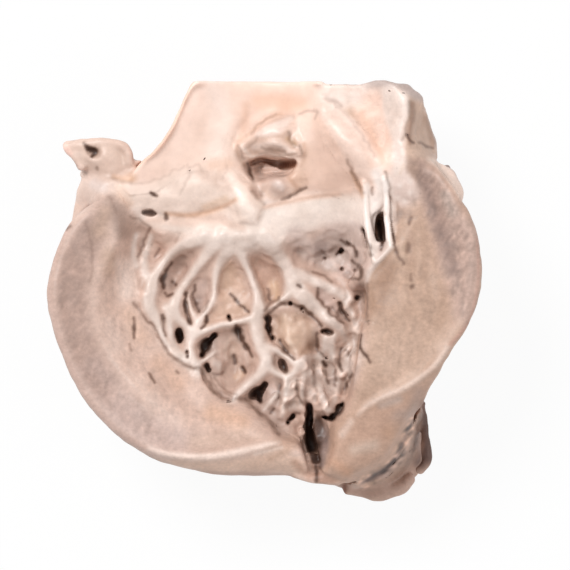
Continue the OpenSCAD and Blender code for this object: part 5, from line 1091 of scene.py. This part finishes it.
area([(13, 46), (16, 50.6), (20, 48), (25, 42), (29, 36), (31, 31), (27.6, 26), (22, 26), (14, 26.4),
      (11.6, 30), (13, 38)], "#e9c6b4", 0.9, 1.2)
ridge([(15.4, 48.6, 2), (19, 45, 3), (22.6, 39.8, 3.4), (25.4, 34.6, 3), (27.6, 30.6, 2.2)], 0.8, "#ecd0c2",
      "mitral_anterior_leaflet", 0.9, 0.85)
ridge([(17.4, 51.2, 0.8), (21.4, 47.8, 0.9), (26, 42, 0.9), (29.6, 35.8, 0.9), (31.6, 31.4, 0.8)], 0.6)
crease([(16.2, 51.8, 0.2), (19, 50, 0.3), (21.4, 47.6, 0.3), (26.2, 41.8, 0.3), (29.6, 36, 0.3)], 0.6, 0.14,
       0.5)
crease([(22.4, 34.8, 0.2), (24.4, 30.6, 0.35), (26.6, 26, 0.35)], 0.7, 0.35, 0.5)
# painted shadow along the leaflet's inner edge
wash([(23.6, 31.6, 0.4), (25.6, 27.8, 0.6), (26.8, 25, 0.4)], "#c29374", 0.6, 0.6)
wash([(27.6, 28, 0.9), (28, 20, 0.9), (29.4, 10, 0.9)], "#ebdad1", 0.9, 0.6)
wash([(32.6, 29, 0.9), (33.2, 20, 0.6), (34, 12.4, 0.6)], "#f1e4dd", 0.9, 0.6)
wash([(30.4, 31.4, 1.6), (31.2, 27.4, 1)], "#f6e9e2", 0.85, 0.9)
crease([(29.2, 27.4, 0.25), (29.3, 26, 0.35)], 0.8, 0.45)
crease([(34, 27.2, 0.2), (33.9, 25.2, 0.3)], 0.7, 0.35)
crease([(32.6, 31.6, 0.2), (33.4, 29.4, 0.3), (33.8, 28, 0.2)], 0.6, 0.4)
level([(35.3, 28), (35.5, 20), (35.1, 14.6), (38, 14), (39, 22), (38.5, 28)], 2.8, 1.0, 0.6, True)
level([(28.6, 26), (28.8, 21), (30.4, 20.4), (32.4, 20.6), (32.6, 26)], 2.4, 0.9, 0.5, True)
# painted shade in the dark gaps between the cords
shade[:] = np.maximum(shade, 0.95 * traced([(30.8, 19.6, 0.5), (31.3, 17, 0.8), (31.9, 13.6, 0.6),
        (31.4, 10.8, 0.25)], 0.4, DOT))
shade[:] = np.maximum(shade, 0.95 * traced([(34.2, 17.6, 0.2), (34.6, 15.2, 0.35), (35.1, 12.6, 0.3)], 0.3,
        DOT))
wash([(31.2, 21.4, 0.6), (32.4, 20.4, 0.4)], "#c9b4a9", 0.8, 0.5)
# painted shade under the fat lumps
wash([(36.4, 20.6, 0.8), (35.6, 18.6, 0.6)], "#b09c93", 0.7, 0.8)
wash([(36.4, 31.6, 0.5), (37.2, 33.6, 0.5)], "#c9a287", 0.6, 0.5)
# painted shade in the gap left of the cords
shade[:] = np.maximum(shade, 0.5 * traced([(26.6, 14.6, 0.3), (27.4, 11.6, 0.4)], 0.5, DOT))

# ---------------------------------------------------------------- left atrium and its ear
# The atrium was cut open above the mitral valve: thick pale edge, salmon lining, brown
# outer wall and a greyish roof. The ear of the atrium sticks out at the other side, a flat
# lobe that is printed on to the fat in front of it.

# vein wall, printed grey-brown and sealed: dull, with cloudy darker blotches
vein_wall = printed("plaster_print_vein_wall", 1.0, 0.08, 3.0, 0.09, (1, 1.5, 1), 0.5, 0.10)
tissue(lining, left_atrium="#cba994")
tissue(white_fibre, left_atrial_rim="#efd9ce")
tissue(vein_wall, left_atrial_roof="#cdb9b0")
tissue(fat, left_auricle="#d9bbae")
tissue(fat, (0.4, 0.4, 0.14), anterior_fat="#e8cfc2")

level([(30, 58), (44, 58), (50, 44), (48, 35), (38, 29), (31, 30), (31, 36), (31, 48)], 3.6, 1.7, 1.4)
level([(14, 58), (30, 58), (35, 52), (34, 44), (26, 42), (14, 46)], 2.7, 1.6, 1.4)
level([(22, 50), (34, 52), (36, 40), (34, 29), (28, 28), (24, 40)], 2.2, 1.3, 1.2)
area([(26, 53.4), (31, 54), (35, 51), (36.4, 44), (35.6, 36), (34, 31.6), (31.6, 32), (28.6, 38),
      (25.6, 44), (24, 49)], "#f8d5c4", 0.92, 1.0)
wash([(26.4, 47.4, 1), (29.4, 41, 1), (32.4, 35, 0.8)], "#eec3ac", 0.75, 1.3)
wash([(31.6, 51.6, 0.9), (33.8, 46.6, 0.7), (34, 40.4, 0.6)], "#e9c5b4", 0.6, 0.9)
area([(31.6, 54.4), (34.8, 54.6), (38.7, 51.8), (39.1, 47.2), (37.8, 43.6), (37, 40), (37.6, 35.4),
      (36.8, 31.2), (35, 31), (34.6, 35), (34.4, 40), (33, 44), (31.8, 49)], "#ecd9cf", 0.95, 0.5)
crease([(39.3, 50.6, 0.3), (39.4, 47, 0.3), (38.2, 43.4, 0.3), (37.4, 40, 0.25)], 0.7, 0.25)
area([(27.6, 56.6), (33, 57), (38, 56), (42.4, 53.4), (43.4, 50), (40.4, 51.6), (36.6, 54.4), (32.4, 55.2),
      (29, 55)], "#b5a29b", 0.95, 0.7)
area([(39.4, 50.8), (43.6, 50), (45.4, 45), (47.6, 40), (47.8, 36.4), (42, 36.6), (38.6, 35.4), (38, 41),
      (39.4, 46)], "#d6b7a4", 0.95, 0.7)
wash([(44.2, 46, 1), (46.4, 40, 1)], "#ab8a78", 0.75, 1.2)
wash([(40, 50, 0.5), (40, 46.4, 0.6), (39, 42.6, 0.6), (39.2, 39.4, 0.5)], "#a07d6a", 0.8, 0.6)
wash([(40.6, 36.4, 1), (44.6, 36.6, 0.9)], "#d6b8a6", 0.7, 1.0)
area([(14.4, 55.4), (20, 55.6), (27, 55.4), (25, 50), (20, 48.6), (16, 50.6)], "#f0ddd3", 0.85, 1.2)
wash([(22.4, 54.4, 1.2), (26, 53.6, 1)], "#ecd0c2", 0.6, 1.2)
wash([(17.4, 51.6, 0.6), (20.6, 49.8, 0.5)], "#d9c1b6", 0.7, 0.9)
crease([(15.8, 52.4, 0.3), (18.2, 50.8, 0.4), (21, 49.4, 0.3)], 0.6, 0.12, 0.5)
crease([(38.3, 41.8, 0.25), (39.2, 40.2, 0.3), (40.2, 39.6, 0.2)], 0.7, 0.7)
crease([(41.8, 39.4, 0.2), (43.8, 38.9, 0.25), (45.6, 38.4, 0.2)], 0.6, 0.5)
# the ear: a flat pale face with a three-cornered mouth darkened with painted shade, a painted shadow under
# it, and a pink tip
level([(-55, 37), (-53.6, 41), (-44, 42), (-37, 40.6), (-35, 35), (-38, 31), (-45, 31), (-51, 34)], 2.4,
      0.9)
area([(-55, 38), (-53, 41), (-44, 42), (-37.6, 41), (-35, 36), (-36, 31.6), (-41, 30.6), (-46, 31),
      (-51, 34)], "#d9bdae", 0.92, 0.8)
wash([(-53.6, 38.4, 0.9), (-52.6, 36.8, 0.8)], "#f0c8ba", 0.9, 0.8)
# painted shadow below the mouth
wash([(-49.8, 36.8, 0.9), (-47, 33.8, 1), (-45, 34, 0.8)], "#d5bbad", 0.75, 1.0)
wash([(-41, 37.4, 1.6), (-38.6, 35.4, 1.2)], "#e3c9ba", 0.6, 1.4)
shade[:] = np.maximum(shade, traced([(-48.6, 39.6, 0.2), (-47.3, 38.2, 0.8), (-45.6, 37.4, 0.8),
        (-46.4, 36, 0.35)], 0.45, DOT))
crease([(-48.4, 39.4, 0.3), (-47.2, 38.1, 1), (-45.7, 37.3, 0.9), (-46.4, 36, 0.4)], 1.8)
crease([(-45.2, 33, 0.25), (-44.7, 32.4, 0.3)], 0.5, 0.4)
crease([(-51.4, 34.4, 0.2), (-50.4, 33.6, 0.2)], 0.3, 0.3)
crease([(-41.2, 30.3, 0.25), (-38.4, 29.5, 0.4), (-35.4, 29, 0.35)], 0.6, 0.2, 0.6)
wash([(-40.6, 30.6, 0.5), (-37.8, 29.9, 0.6), (-35.8, 29.8, 0.6)], "#dcae8e", 0.7, 0.8)
area([(-50, 30), (-46, 31.6), (-41.6, 30), (-40, 27), (-43.6, 26), (-47, 23), (-52, 18), (-52.6, 21),
      (-50.6, 25)], "#e2c9bd", 0.9, 1.0)
wash([(-45.6, 28.4, 1.6), (-43.8, 27.6, 1.4)], "#e0cdc5", 0.9, 1.0)
wash([(-50.6, 22.4, 0.8), (-51.6, 19, 0.6)], "#e4c4b3", 0.7, 1.0)
wash([(-38.8, 27.6, 1.2), (-37.4, 25.8, 1)], "#f4d7c6", 0.8, 1.2)

# ---------------------------------------------------------------- the back of the heart
# Right ventricle, right atrium and infundibulum make the rounded back that the model rests on,
# with short closed stumps of the great vessels and the vessels in the grooves. Nothing is cut
# there, so these keep their outer skin and get no lines of their own.

tissue(cut_muscle, (0.6, 0.35, 0.14), right_ventricle="#c6a493", pulmonary_infundibulum="#c9a695")
tissue(vein_wall, (0.6, 0.4, 0.16), right_atrium="#c0a090")
tissue(vein_wall, superior_vena_cava="#bba39c", inferior_vena_cava="#b9a19a")
tissue(vein_wall, (0.3, 0.3, 0.12), coronary_sinus="#b79f98")
tissue(artery_wall, pulmonary_trunk="#efcdbd")
tissue(fat, anterior_interventricular_artery="#e6c1ac")
tissue(vein_wall, posterior_interventricular_artery="#b59c95")

# ---------------------------------------------------------------- working the skin
# The sheet of heights is now given to the block: each column of samples slides up or down by
# what was laid on it, fading out deep inside, and then the pits are bored.

TOP = 52.7      # mm, just under the highest point of the CAD solids
PLATE = 2.4     # mm, how thick the new skin is where a column goes down
FOOT = 6        # mm above the table, under which no column is built up
FADE = 12       # mm, how deep inside the mass a slide still moves it
LAID = 2.6      # mm, how deep a band that was laid on belongs to its own piece
goal = np.minimum(goal + soften(web, 0.35), TOP)
slide = np.where(held > 0, goal - ground, 0)
floor_of = np.where(held > 0, np.where(slide < 0, goal - PLATE, ground - 1), goal - 5)
lifted = ((held > 0) & (np.abs(slide) > 0.3) & (goal > FOOT)) | ((held == 0) & (plug > 0.5) & (goal > FOOT))
slide = np.clip(slide, -0.5 - 6 * np.clip(soften(held, 1.2) * 5 - 4, 0, 1), 12)
goal = np.where(held > 0, np.maximum(goal, ground + slide), goal)
column = SHAPE[2]
for i in range(SHAPE[0]):
    fade = np.clip(1.3 - (ground[i][:, None] - AXES[2][None, :column]) / FADE, 0, 1)
    at = np.clip(np.arange(column)[None, :] - slide[i][:, None] * fade / STEP, 0, column - 1.001)
    k = at.astype(int)
    t = (at - k).astype(np.float32)
    row = form[i]
    moved = np.take_along_axis(row, k, 1) * (1 - t) + np.take_along_axis(row, k + 1, 1) * t
    form[i] = np.where(slide[i][:, None] > 0, np.minimum(row, moved), np.maximum(row, moved))
    heap = np.maximum(AXES[2][None, :column] - goal[i][:, None], floor_of[i][:, None] - AXES[2][None,
            :column])
    form[i] = np.where(lifted[i][:, None], np.minimum(form[i], heap), form[i])
# narrow slots, left where two columns moved apart, are closed up to the wanted height
for blur, least in ((0.26, 0.5), (0.18, 0.5), (0.18, 1.8)):
    new_top = skin_height(form)
    closed = new_top
    for pick in (np.maximum, np.minimum):
        for axis in (0, 1):
            far = closed
            for k in (-3, -2, -1, 1, 2, 3):
                far = pick(far, np.roll(closed, k, axis))
            closed = far
    if least < 1:
        closed = np.where(held > 0, np.minimum(closed, goal), closed)
    for i, j in np.argwhere((closed - new_top > least) & (closed > FOOT)):
        bottom = min(new_top[i, j], closed[i, j] - 2) - 1
        at = (AXES[2][:column] < closed[i, j]) & (AXES[2][:column] > bottom)
        form[i, j, at] = np.minimum(form[i, j, at], -0.4)
    form = drawn(soften(np.clip(0.5 - form / (2 * STEP), 0, 1), blur))
near_top = AXES[2][None, None, :column] > (goal - LAID)[:, :, None]
named = near_top & (claim > 0)[:, :, None]
owner[named] = np.broadcast_to(claim[:, :, None], SHAPE)[named]
shown_top = skin_height(form)
under_top = soften(shown_top, 0.6)


def height(x, y, over):
    """skin height at x, y of the photograph's frame"""
    u = np.clip((np.asarray(x) - LOW[0]) / STEP, 0, SHAPE[0] - 1.01)
    v = np.clip((np.asarray(y) + SHIFT - LOW[1]) / STEP, 0, SHAPE[1] - 1.01)
    i, j = u.astype(int), v.astype(int)
    a, b = u - i, v - j
    return ((over[i, j] * (1 - a) + over[i + 1, j] * a) * (1 - b)
            + (over[i, j + 1] * (1 - a) + over[i + 1, j + 1] * a) * b)


def work(beads, blend, cut=False, piece=None):
    """adds (or cuts) a row of overlapping beads [x, y, z, r] to the form"""
    beads = np.asarray(beads, float) + (0, SHIFT, 0, 0)
    pad = beads[:, 3].max() + blend + 0.9
    first = np.maximum(np.floor((beads[:, :3].min(0) - LOW - pad) / STEP).astype(int), 0)
    last = np.minimum(np.ceil((beads[:, :3].max(0) - LOW + pad) / STEP).astype(int) + 1, SHAPE)
    part = tuple(slice(a, b) for a, b in zip(first, last))
    near = np.full(last - first, 9.0, np.float32)
    for x, y, z, r in beads:
        lo = np.maximum(np.floor((np.array([x, y, z]) - LOW - r - blend - 0.9) / STEP).astype(int), first)
        hi = np.minimum(np.ceil((np.array([x, y, z]) - LOW + r + blend + 0.9) / STEP).astype(int) + 1, last)
        if (hi <= lo).any():
            continue
        dx = (AXES[0][lo[0]:hi[0]] - x)[:, None, None]
        dy = (AXES[1][lo[1]:hi[1]] - y)[None, :, None]
        dz = (AXES[2][lo[2]:hi[2]] - z)[None, None, :]
        d = (np.sqrt(dx * dx + dy * dy + dz * dz) - r).astype(np.float32)
        spot = tuple(slice(a - f, b - f) for a, b, f in zip(lo, hi, first))
        np.minimum(near[spot], d, out=near[spot])
    if cut:
        form[part] = -join(-form[part], near, blend)
    else:
        form[part] = join(form[part], near, blend)
        if piece:
            mine = (near < 0.35) & (near < nearest[part] + 0.6)
            owner[part][mine] = 1 + NAMES.index(piece)


for points, depth in later:
    beads = []
    for x, y, r in points:
        z = float(height(x, y, under_top))
        for part in np.linspace(0, 1, max(2, int(depth / 0.6))):
            beads.append((x, y, z + 0.3 * r - part * (depth - 0.7 * r), r * (1 - 0.25 * part)))
    work(beads, 0.5, cut=True)
ear_top = float(height(-42.5, 37.6, under_top))
tip_top = float(height(11, -49, under_top))
work([(-46.8, 38.0, ear_top - 4.6, 2.6), (-46.4, 37.0, ear_top - 4.6, 2.6)], 0.5, piece="left_auricle")
# the outline is a little fuller than the smoothed mass at the ear, the tip and the rear bulge
for points, z, piece in (
        ([(-53.2, 38.9, 1.2), (-49, 39.1, 1.3), (-43.6, 39.8, 1.4), (-39, 39.2, 1.4), (-36.9, 37.4, 1.4),
          (-36.4, 34.6, 1.2)], ear_top - 1.8, "left_auricle"),
        ([(-52.6, 38, 1.3), (-50.6, 35.8, 1.6), (-49.4, 33.4, 1.6)], ear_top - 2.4, "left_auricle"),
        ([(43.1, -31, 1.2), (43.6, -36, 1.3), (43.9, -41, 1.4), (44.1, -46, 1.3), (42.4, -48.9, 1.2)],
         float(height(41.6, -38, under_top)) - 2.4, "right_ventricle"),
        ([(39.6, -51.6, 1.3), (37.2, -53.8, 1.4), (32, -55.3, 1.4), (27, -55.3, 1.4), (22.9, -54.6, 1.3)],
         float(height(33, -52, under_top)) - 2.2, "right_ventricle"),
        ([(8.6, -49.9, 1.1), (12, -50.9, 1.3), (16, -51.2, 1.6), (19.4, -51.8, 1.2)], tip_top - 2.0,
         "anterior_wall_flap"),
        ([(13, -45.6, 1.6), (13.4, -48.4, 1.7), (14.2, -50.6, 1.7)], tip_top - 3.6, "anterior_wall_flap"),
        ([(17.6, -48.6, 1.6), (17.4, -50.4, 1.6)], tip_top - 3.6, "anterior_wall_flap")):
    line = course(points)
    work(np.column_stack([line[:, 0], line[:, 1], np.full(len(line), z), line[:, 2]]), 1.6, piece=piece)
for points in (
        [(27, 29, 1.4), (27.4, 24.6, 1.1), (27.7, 20, 0.95), (28.2, 15.4, 0.9), (28.8, 11, 0.95),
         (29.8, 7.6, 1.1)],
        [(32.4, 29.4, 1.5), (32.9, 25, 1), (33, 20, 0.85), (33.4, 15.6, 0.8), (34, 11.6, 0.9)],
        [(31.6, 24.6, 0.5), (30.4, 21.4, 0.5), (29.4, 17.8, 0.5), (29.2, 13.6, 0.5)],
        [(34.4, 26.6, 0.5), (35.2, 23, 0.45), (35.4, 19.4, 0.45), (35.2, 15.6, 0.45)]):
    line = course(points)
    ends = [float(height(*line[k][:2], under_top)) for k in (0, -1)]
    t = np.linspace(0, 1, len(line))
    sag = ends[0] * (1 - t) + ends[1] * t - 0.5 - 1.2 * np.sin(np.pi * t)
    work(np.column_stack([line[:, 0], line[:, 1], sag, line[:, 2]]), 0.7, piece="chordae_tendineae")
work([(x, y, z, r) for x, y, r in NOTCH for z in np.arange(0, 40, 1.0)], 0.6, cut=True)

# ---------------------------------------------------------------- surface grain
# The skin is never dead smooth: soft lumps of a few millimetres on fat and outer skin, finer
# wrinkles on lining and muscle, and almost nothing on the stretched aorta.


def lumps(size, seed):
    """soft random swellings about size mm apart, from -1 to 1, over the whole block"""
    counts = [int(np.ceil(n * STEP / size)) + 4 for n in SHAPE]
    values = np.random.default_rng(seed).uniform(-1, 1, counts).astype(np.float32)
    for axis in range(3):
        at = np.arange(SHAPE[axis]) * STEP / size + 1.5
        base = np.floor(at).astype(int)
        t = at - base
        weights = np.zeros((SHAPE[axis], counts[axis]), np.float32)
        shares = ((1 - t) ** 3, 3 * t ** 3 - 6 * t ** 2 + 4, -3 * t ** 3 + 3 * t ** 2 + 3 * t + 1, t ** 3)
        for k, w in zip((-1, 0, 1, 2), shares):
            weights[np.arange(SHAPE[axis]), np.clip(base + k, 0, counts[axis] - 1)] += w / 6
        values = np.moveaxis(np.tensordot(weights, values, ([1], [axis])), 0, axis)
    return values * 2.2


amount = np.array([(0.35, 0.22, 0.12)] + [TISSUES[n][1] for n in NAMES], np.float32)
GRAINED = 2.2   # mm, how deep under the skin the lumps reach
RESTING = 0.3   # mm, height of the flat patch that the print rests on
close = np.abs(form) < GRAINED
for k, (size, seed) in enumerate(((6.0, 3), (2.6, 5), (1.2, 8))):
    form[close] += (lumps(size, seed)[close] * amount[owner[close], k])
form[:, :, AXES[2] < RESTING] = np.maximum(form[:, :, AXES[2] < RESTING], RESTING)

# ---------------------------------------------------------------- cutting the print into its pieces
# The skin is drawn once through the whole block, and each piece keeps the faces of its own
# samples, so neighbours meet in one line and every piece is closed.

piece_at = np.where(form < 0, owner, 0).astype(np.uint8)
low_corner = piece_at[:-1, :-1, :-1].copy()
top_corner = low_corner.copy()
for i, j, k in np.ndindex(2, 2, 2):
    c = piece_at[i:SHAPE[0] - 1 + i, j:SHAPE[1] - 1 + j, k:SHAPE[2] - 1 + k]
    np.minimum(low_corner, c, out=low_corner)
    np.maximum(top_corner, c, out=top_corner)
cells = np.argwhere(low_corner != top_corner)
number = np.full(low_corner.shape, -1, np.int32)
number[tuple(cells.T)] = np.arange(len(cells))
total = np.zeros((len(cells), 3))
count = np.zeros(len(cells))
inner_total = np.zeros((len(cells), 3))
inner_count = np.zeros(len(cells))
for axis in range(3):
    others = [a for a in range(3) if a != axis]
    for i, j in np.ndindex(2, 2):
        a = np.zeros(3, int)
        a[others[0]], a[others[1]] = i, j
        b = a.copy()
        b[axis] = 1
        at_a, at_b = tuple((cells + a).T), tuple((cells + b).T)
        pa, pb, fa, fb = piece_at[at_a], piece_at[at_b], form[at_a], form[at_b]
        outer = (pa != pb) & ((pa == 0) | (pb == 0))
        t = np.clip(fa / np.where(fa == fb, 1, fa - fb), 0.02, 0.98)
        point = cells + a + np.eye(3)[axis] * t[:, None]
        total[outer] += point[outer]
        count[outer] += 1
        inner = (pa != pb) & ~outer
        inner_total[inner] += (cells + a + np.eye(3)[axis] * 0.5)[inner]
        inner_count[inner] += 1
on_skin = count > 0
on_edge = total / np.maximum(count, 1)[:, None]
inside_it = inner_total / np.maximum(inner_count, 1)[:, None]
spots = np.where(on_skin[:, None], on_edge, inside_it)

quads, sides = [], []
for axis in range(3):
    u, w = (axis + 1) % 3, (axis + 2) % 3
    lower = [slice(1, n - 1) for n in SHAPE]
    lower[axis] = slice(0, SHAPE[axis] - 1)
    upper = list(lower)
    upper[axis] = slice(1, SHAPE[axis])
    a, b = piece_at[tuple(lower)], piece_at[tuple(upper)]
    where = np.argwhere(a != b)
    offset = np.ones(3, int)
    offset[axis] = 0
    v = where + offset
    corners = []
    for du, dw in ((-1, -1), (0, -1), (0, 0), (-1, 0)):
        c = v.copy()
        c[:, u] += du
        c[:, w] += dw
        corners.append(number[tuple(c.T)])
    quads.append(np.stack(corners, 1))
    sides.append(np.stack([a[tuple(where.T)], b[tuple(where.T)]], 1))
quads, sides = np.vstack(quads), np.vstack(sides)
skin_quads = (sides == 0).any(1)


def relax(values, quads, times, share):
    """evens values out between neighbouring corners of the faces"""
    ends = np.vstack([quads[:, [0, 1]], quads[:, [1, 2]], quads[:, [2, 3]], quads[:, [3, 0]]])
    degree = np.bincount(ends.ravel(), minlength=len(values))
    for _ in range(times):
        sums = np.stack([np.bincount(ends[:, 0], values[ends[:, 1], k], len(values))
                         + np.bincount(ends[:, 1], values[ends[:, 0], k], len(values))
                         for k in range(values.shape[1])], 1)
        mean = sums / np.maximum(degree, 1)[:, None]
        values = np.where((degree > 0)[:, None], values + share * (mean - values), values)
    return values


spots = np.where(on_skin[:, None], relax(spots, quads[skin_quads], 1, 0.5), spots)


def look_up(block, points):
    """values of a block between its samples"""
    p = np.clip(points, 0, np.array(SHAPE) - 1.01)
    i = p.astype(int)
    t = p - i
    out = 0
    for a, b, c in np.ndindex(2, 2, 2):
        weight = np.abs(1 - a - t[:, 0]) * np.abs(1 - b - t[:, 1]) * np.abs(1 - c - t[:, 2])
        out = out + weight * block[i[:, 0] + a, i[:, 1] + b, i[:, 2] + c]
    return out


facing = np.stack([look_up(form, spots + 0.8 * np.eye(3)[k]) - look_up(form, spots - 0.8 * np.eye(3)[k])
                   for k in range(3)], 1)
facing /= np.maximum(np.linalg.norm(facing, axis=1), 1e-6)[:, None]
where_mm = LOW + spots * STEP

# ---------------------------------------------------------------- the printed colour and painted light
# The printer lays ink into every layer. Each point of the skin carries its own: the piece's
# ground colour, the washes on the side that faces up (some of them painted shade and highlights),
# brown in the pits that is partly printed and partly painted shade, painted shade that darkens
# each hollow, and a painted highlight that lightens each crest.

table = np.array([(0.8, 0.7, 0.6)] + [TISSUES[n][2] for n in NAMES])
touch = np.zeros((len(spots), len(NAMES) + 1), np.float32)
for side in (0, 1):
    for k in range(4):
        np.add.at(touch, (quads[skin_quads, k], sides[skin_quads, side]), 1)
touch[:, 0] = 0
ink_and_painted_light = touch @ table / np.maximum(touch.sum(1), 1)[:, None]
ink_and_painted_light = relax(ink_and_painted_light, quads[skin_quads], 14, 0.5)

u = (where_mm[:, 0] - LOW[0]) / DOT
v = (where_mm[:, 1] - LOW[1]) / DOT


def off_sheet(sheet):
    """values of the painted sheet at every point"""
    i = np.clip(u, 0, SHEET[0] - 1.01)
    j = np.clip(v, 0, SHEET[1] - 1.01)
    a, b = i - i.astype(int), j - j.astype(int)
    i, j = i.astype(int), j.astype(int)
    if sheet.ndim == 3:
        a, b = a[:, None], b[:, None]
    return ((sheet[i, j] * (1 - a) + sheet[i + 1, j] * a) * (1 - b)
            + (sheet[i, j + 1] * (1 - a) + sheet[i + 1, j + 1] * a) * b)


final_top = skin_height(form)
under = height(where_mm[:, 0], where_mm[:, 1], soften(final_top, 0.6)) - where_mm[:, 2]
upward = np.clip(1.35 - under / 5, 0, 1) * np.clip(facing[:, 2] * 2.5 + 1.2, 0, 1)
covered = off_sheet(cover) * upward
ink_and_painted_light = ink_and_painted_light * (1 - covered)[:, None] + off_sheet(paint) * upward[:, None]

close_by = look_up(soften((form < 0).astype(np.float32), 0.9), spots + facing * 1.2)
wide_by = look_up(soften((form < 0).astype(np.float32), 2.4), spots + facing * 2.6)
hollow = np.clip((close_by - 0.12) * 2.2, 0, 1) * 0.5 + np.clip((wide_by - 0.16) * 2.0, 0, 1) * 0.5
# painted highlight: crests with little of the mass about them are lightened
crest_highlight = np.clip((0.075 - close_by) * 14, 0, 1)
# the brown of pits and lines, partly printed brown and partly painted shade, deeper in hollows
pit_brown_and_shade = np.clip(off_sheet(shade) * upward, 0, 1)
# painted shade: each hollow darkens by how much the mass shuts it in
hollow_shade = np.clip(hollow * 0.55, 0, 1)
ink_and_painted_light = ink_and_painted_light * (1 - hollow_shade[:, None] * (1 - srgb("#9a7a69") / srgb("#d2b09f")))
pit_ink_and_shade = np.clip(pit_brown_and_shade * np.clip(0.72 + hollow, 0, 1), 0, 1)
ink_and_painted_light = ink_and_painted_light * (1 - pit_ink_and_shade[:, None]) + srgb("#3b2318") * pit_ink_and_shade[:, None]
ink_and_painted_light = ink_and_painted_light + (1 - ink_and_painted_light) * 0.12 * crest_highlight[:, None]
for size, seed, amount_of_tone in ((9.0, 31, 0.022), (3.2, 32, 0.022), (1.3, 33, 0.02)):
    tone = look_up(lumps(size, seed), spots) * amount_of_tone
    ink_and_painted_light = ink_and_painted_light * (1 + tone[:, None] * (0.8, 1.0, 1.15))
ink_and_painted_light = np.clip(ink_and_painted_light, 0, 1)

# ---------------------------------------------------------------- the pieces
# One closed mesh for each piece of the print, in the place of its CAD solid, made last because
# every piece is cut from the one worked mass. All are fused, so all ride on the one body.

for index, name in enumerate(NAMES, 1):
    mine_low = sides[:, 0] == index
    mine_up = sides[:, 1] == index
    faces = np.vstack([quads[mine_low], quads[mine_up][:, ::-1]])
    outer = np.concatenate([skin_quads[mine_low], skin_quads[mine_up]])
    used, faces = np.unique(faces, return_inverse=True)
    faces = faces.reshape(-1, 4)
    mesh = bpy.data.meshes.new("printed_" + name)
    mesh.vertices.add(len(used))
    mesh.vertices.foreach_set("co", (where_mm[used] / 1000).astype(np.float32).ravel())
    mesh.loops.add(len(faces) * 4)
    mesh.loops.foreach_set("vertex_index", faces.astype(np.int32).ravel())
    mesh.polygons.add(len(faces))
    mesh.polygons.foreach_set("loop_start", np.arange(len(faces), dtype=np.int32) * 4)
    mesh.update(calc_edges=True)
    colours = mesh.color_attributes.new("ink_and_painted_light", "FLOAT_COLOR", "POINT")
    rgba = np.ones((len(used), 4), np.float32)
    rgba[:, :3] = linear(np.clip(ink_and_painted_light[used], 0, 1))
    colours.data.foreach_set("color", rgba.ravel())
    mesh.polygons.foreach_set("use_smooth", np.ones(len(faces), bool))
    flat_normals = np.empty(len(faces) * 3, np.float32)
    mesh.polygons.foreach_get("normal", flat_normals)
    flat_normals = np.repeat(flat_normals.reshape(-1, 1, 3), 4, axis=1)
    corner_normals = facing[used][faces]
    astray = ~outer[:, None] | ((corner_normals * flat_normals).sum(2) < 0.1)
    corner_normals[astray] = flat_normals[astray]
    mesh.normals_split_custom_set(corner_normals.reshape(-1, 3).tolist())
    piece = bpy.data.objects.new("printed_" + name, mesh)
    bpy.context.scene.collection.objects.link(piece)
    mesh.materials.append(TISSUES[name][0])
    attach(piece, "root")
    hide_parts(name)
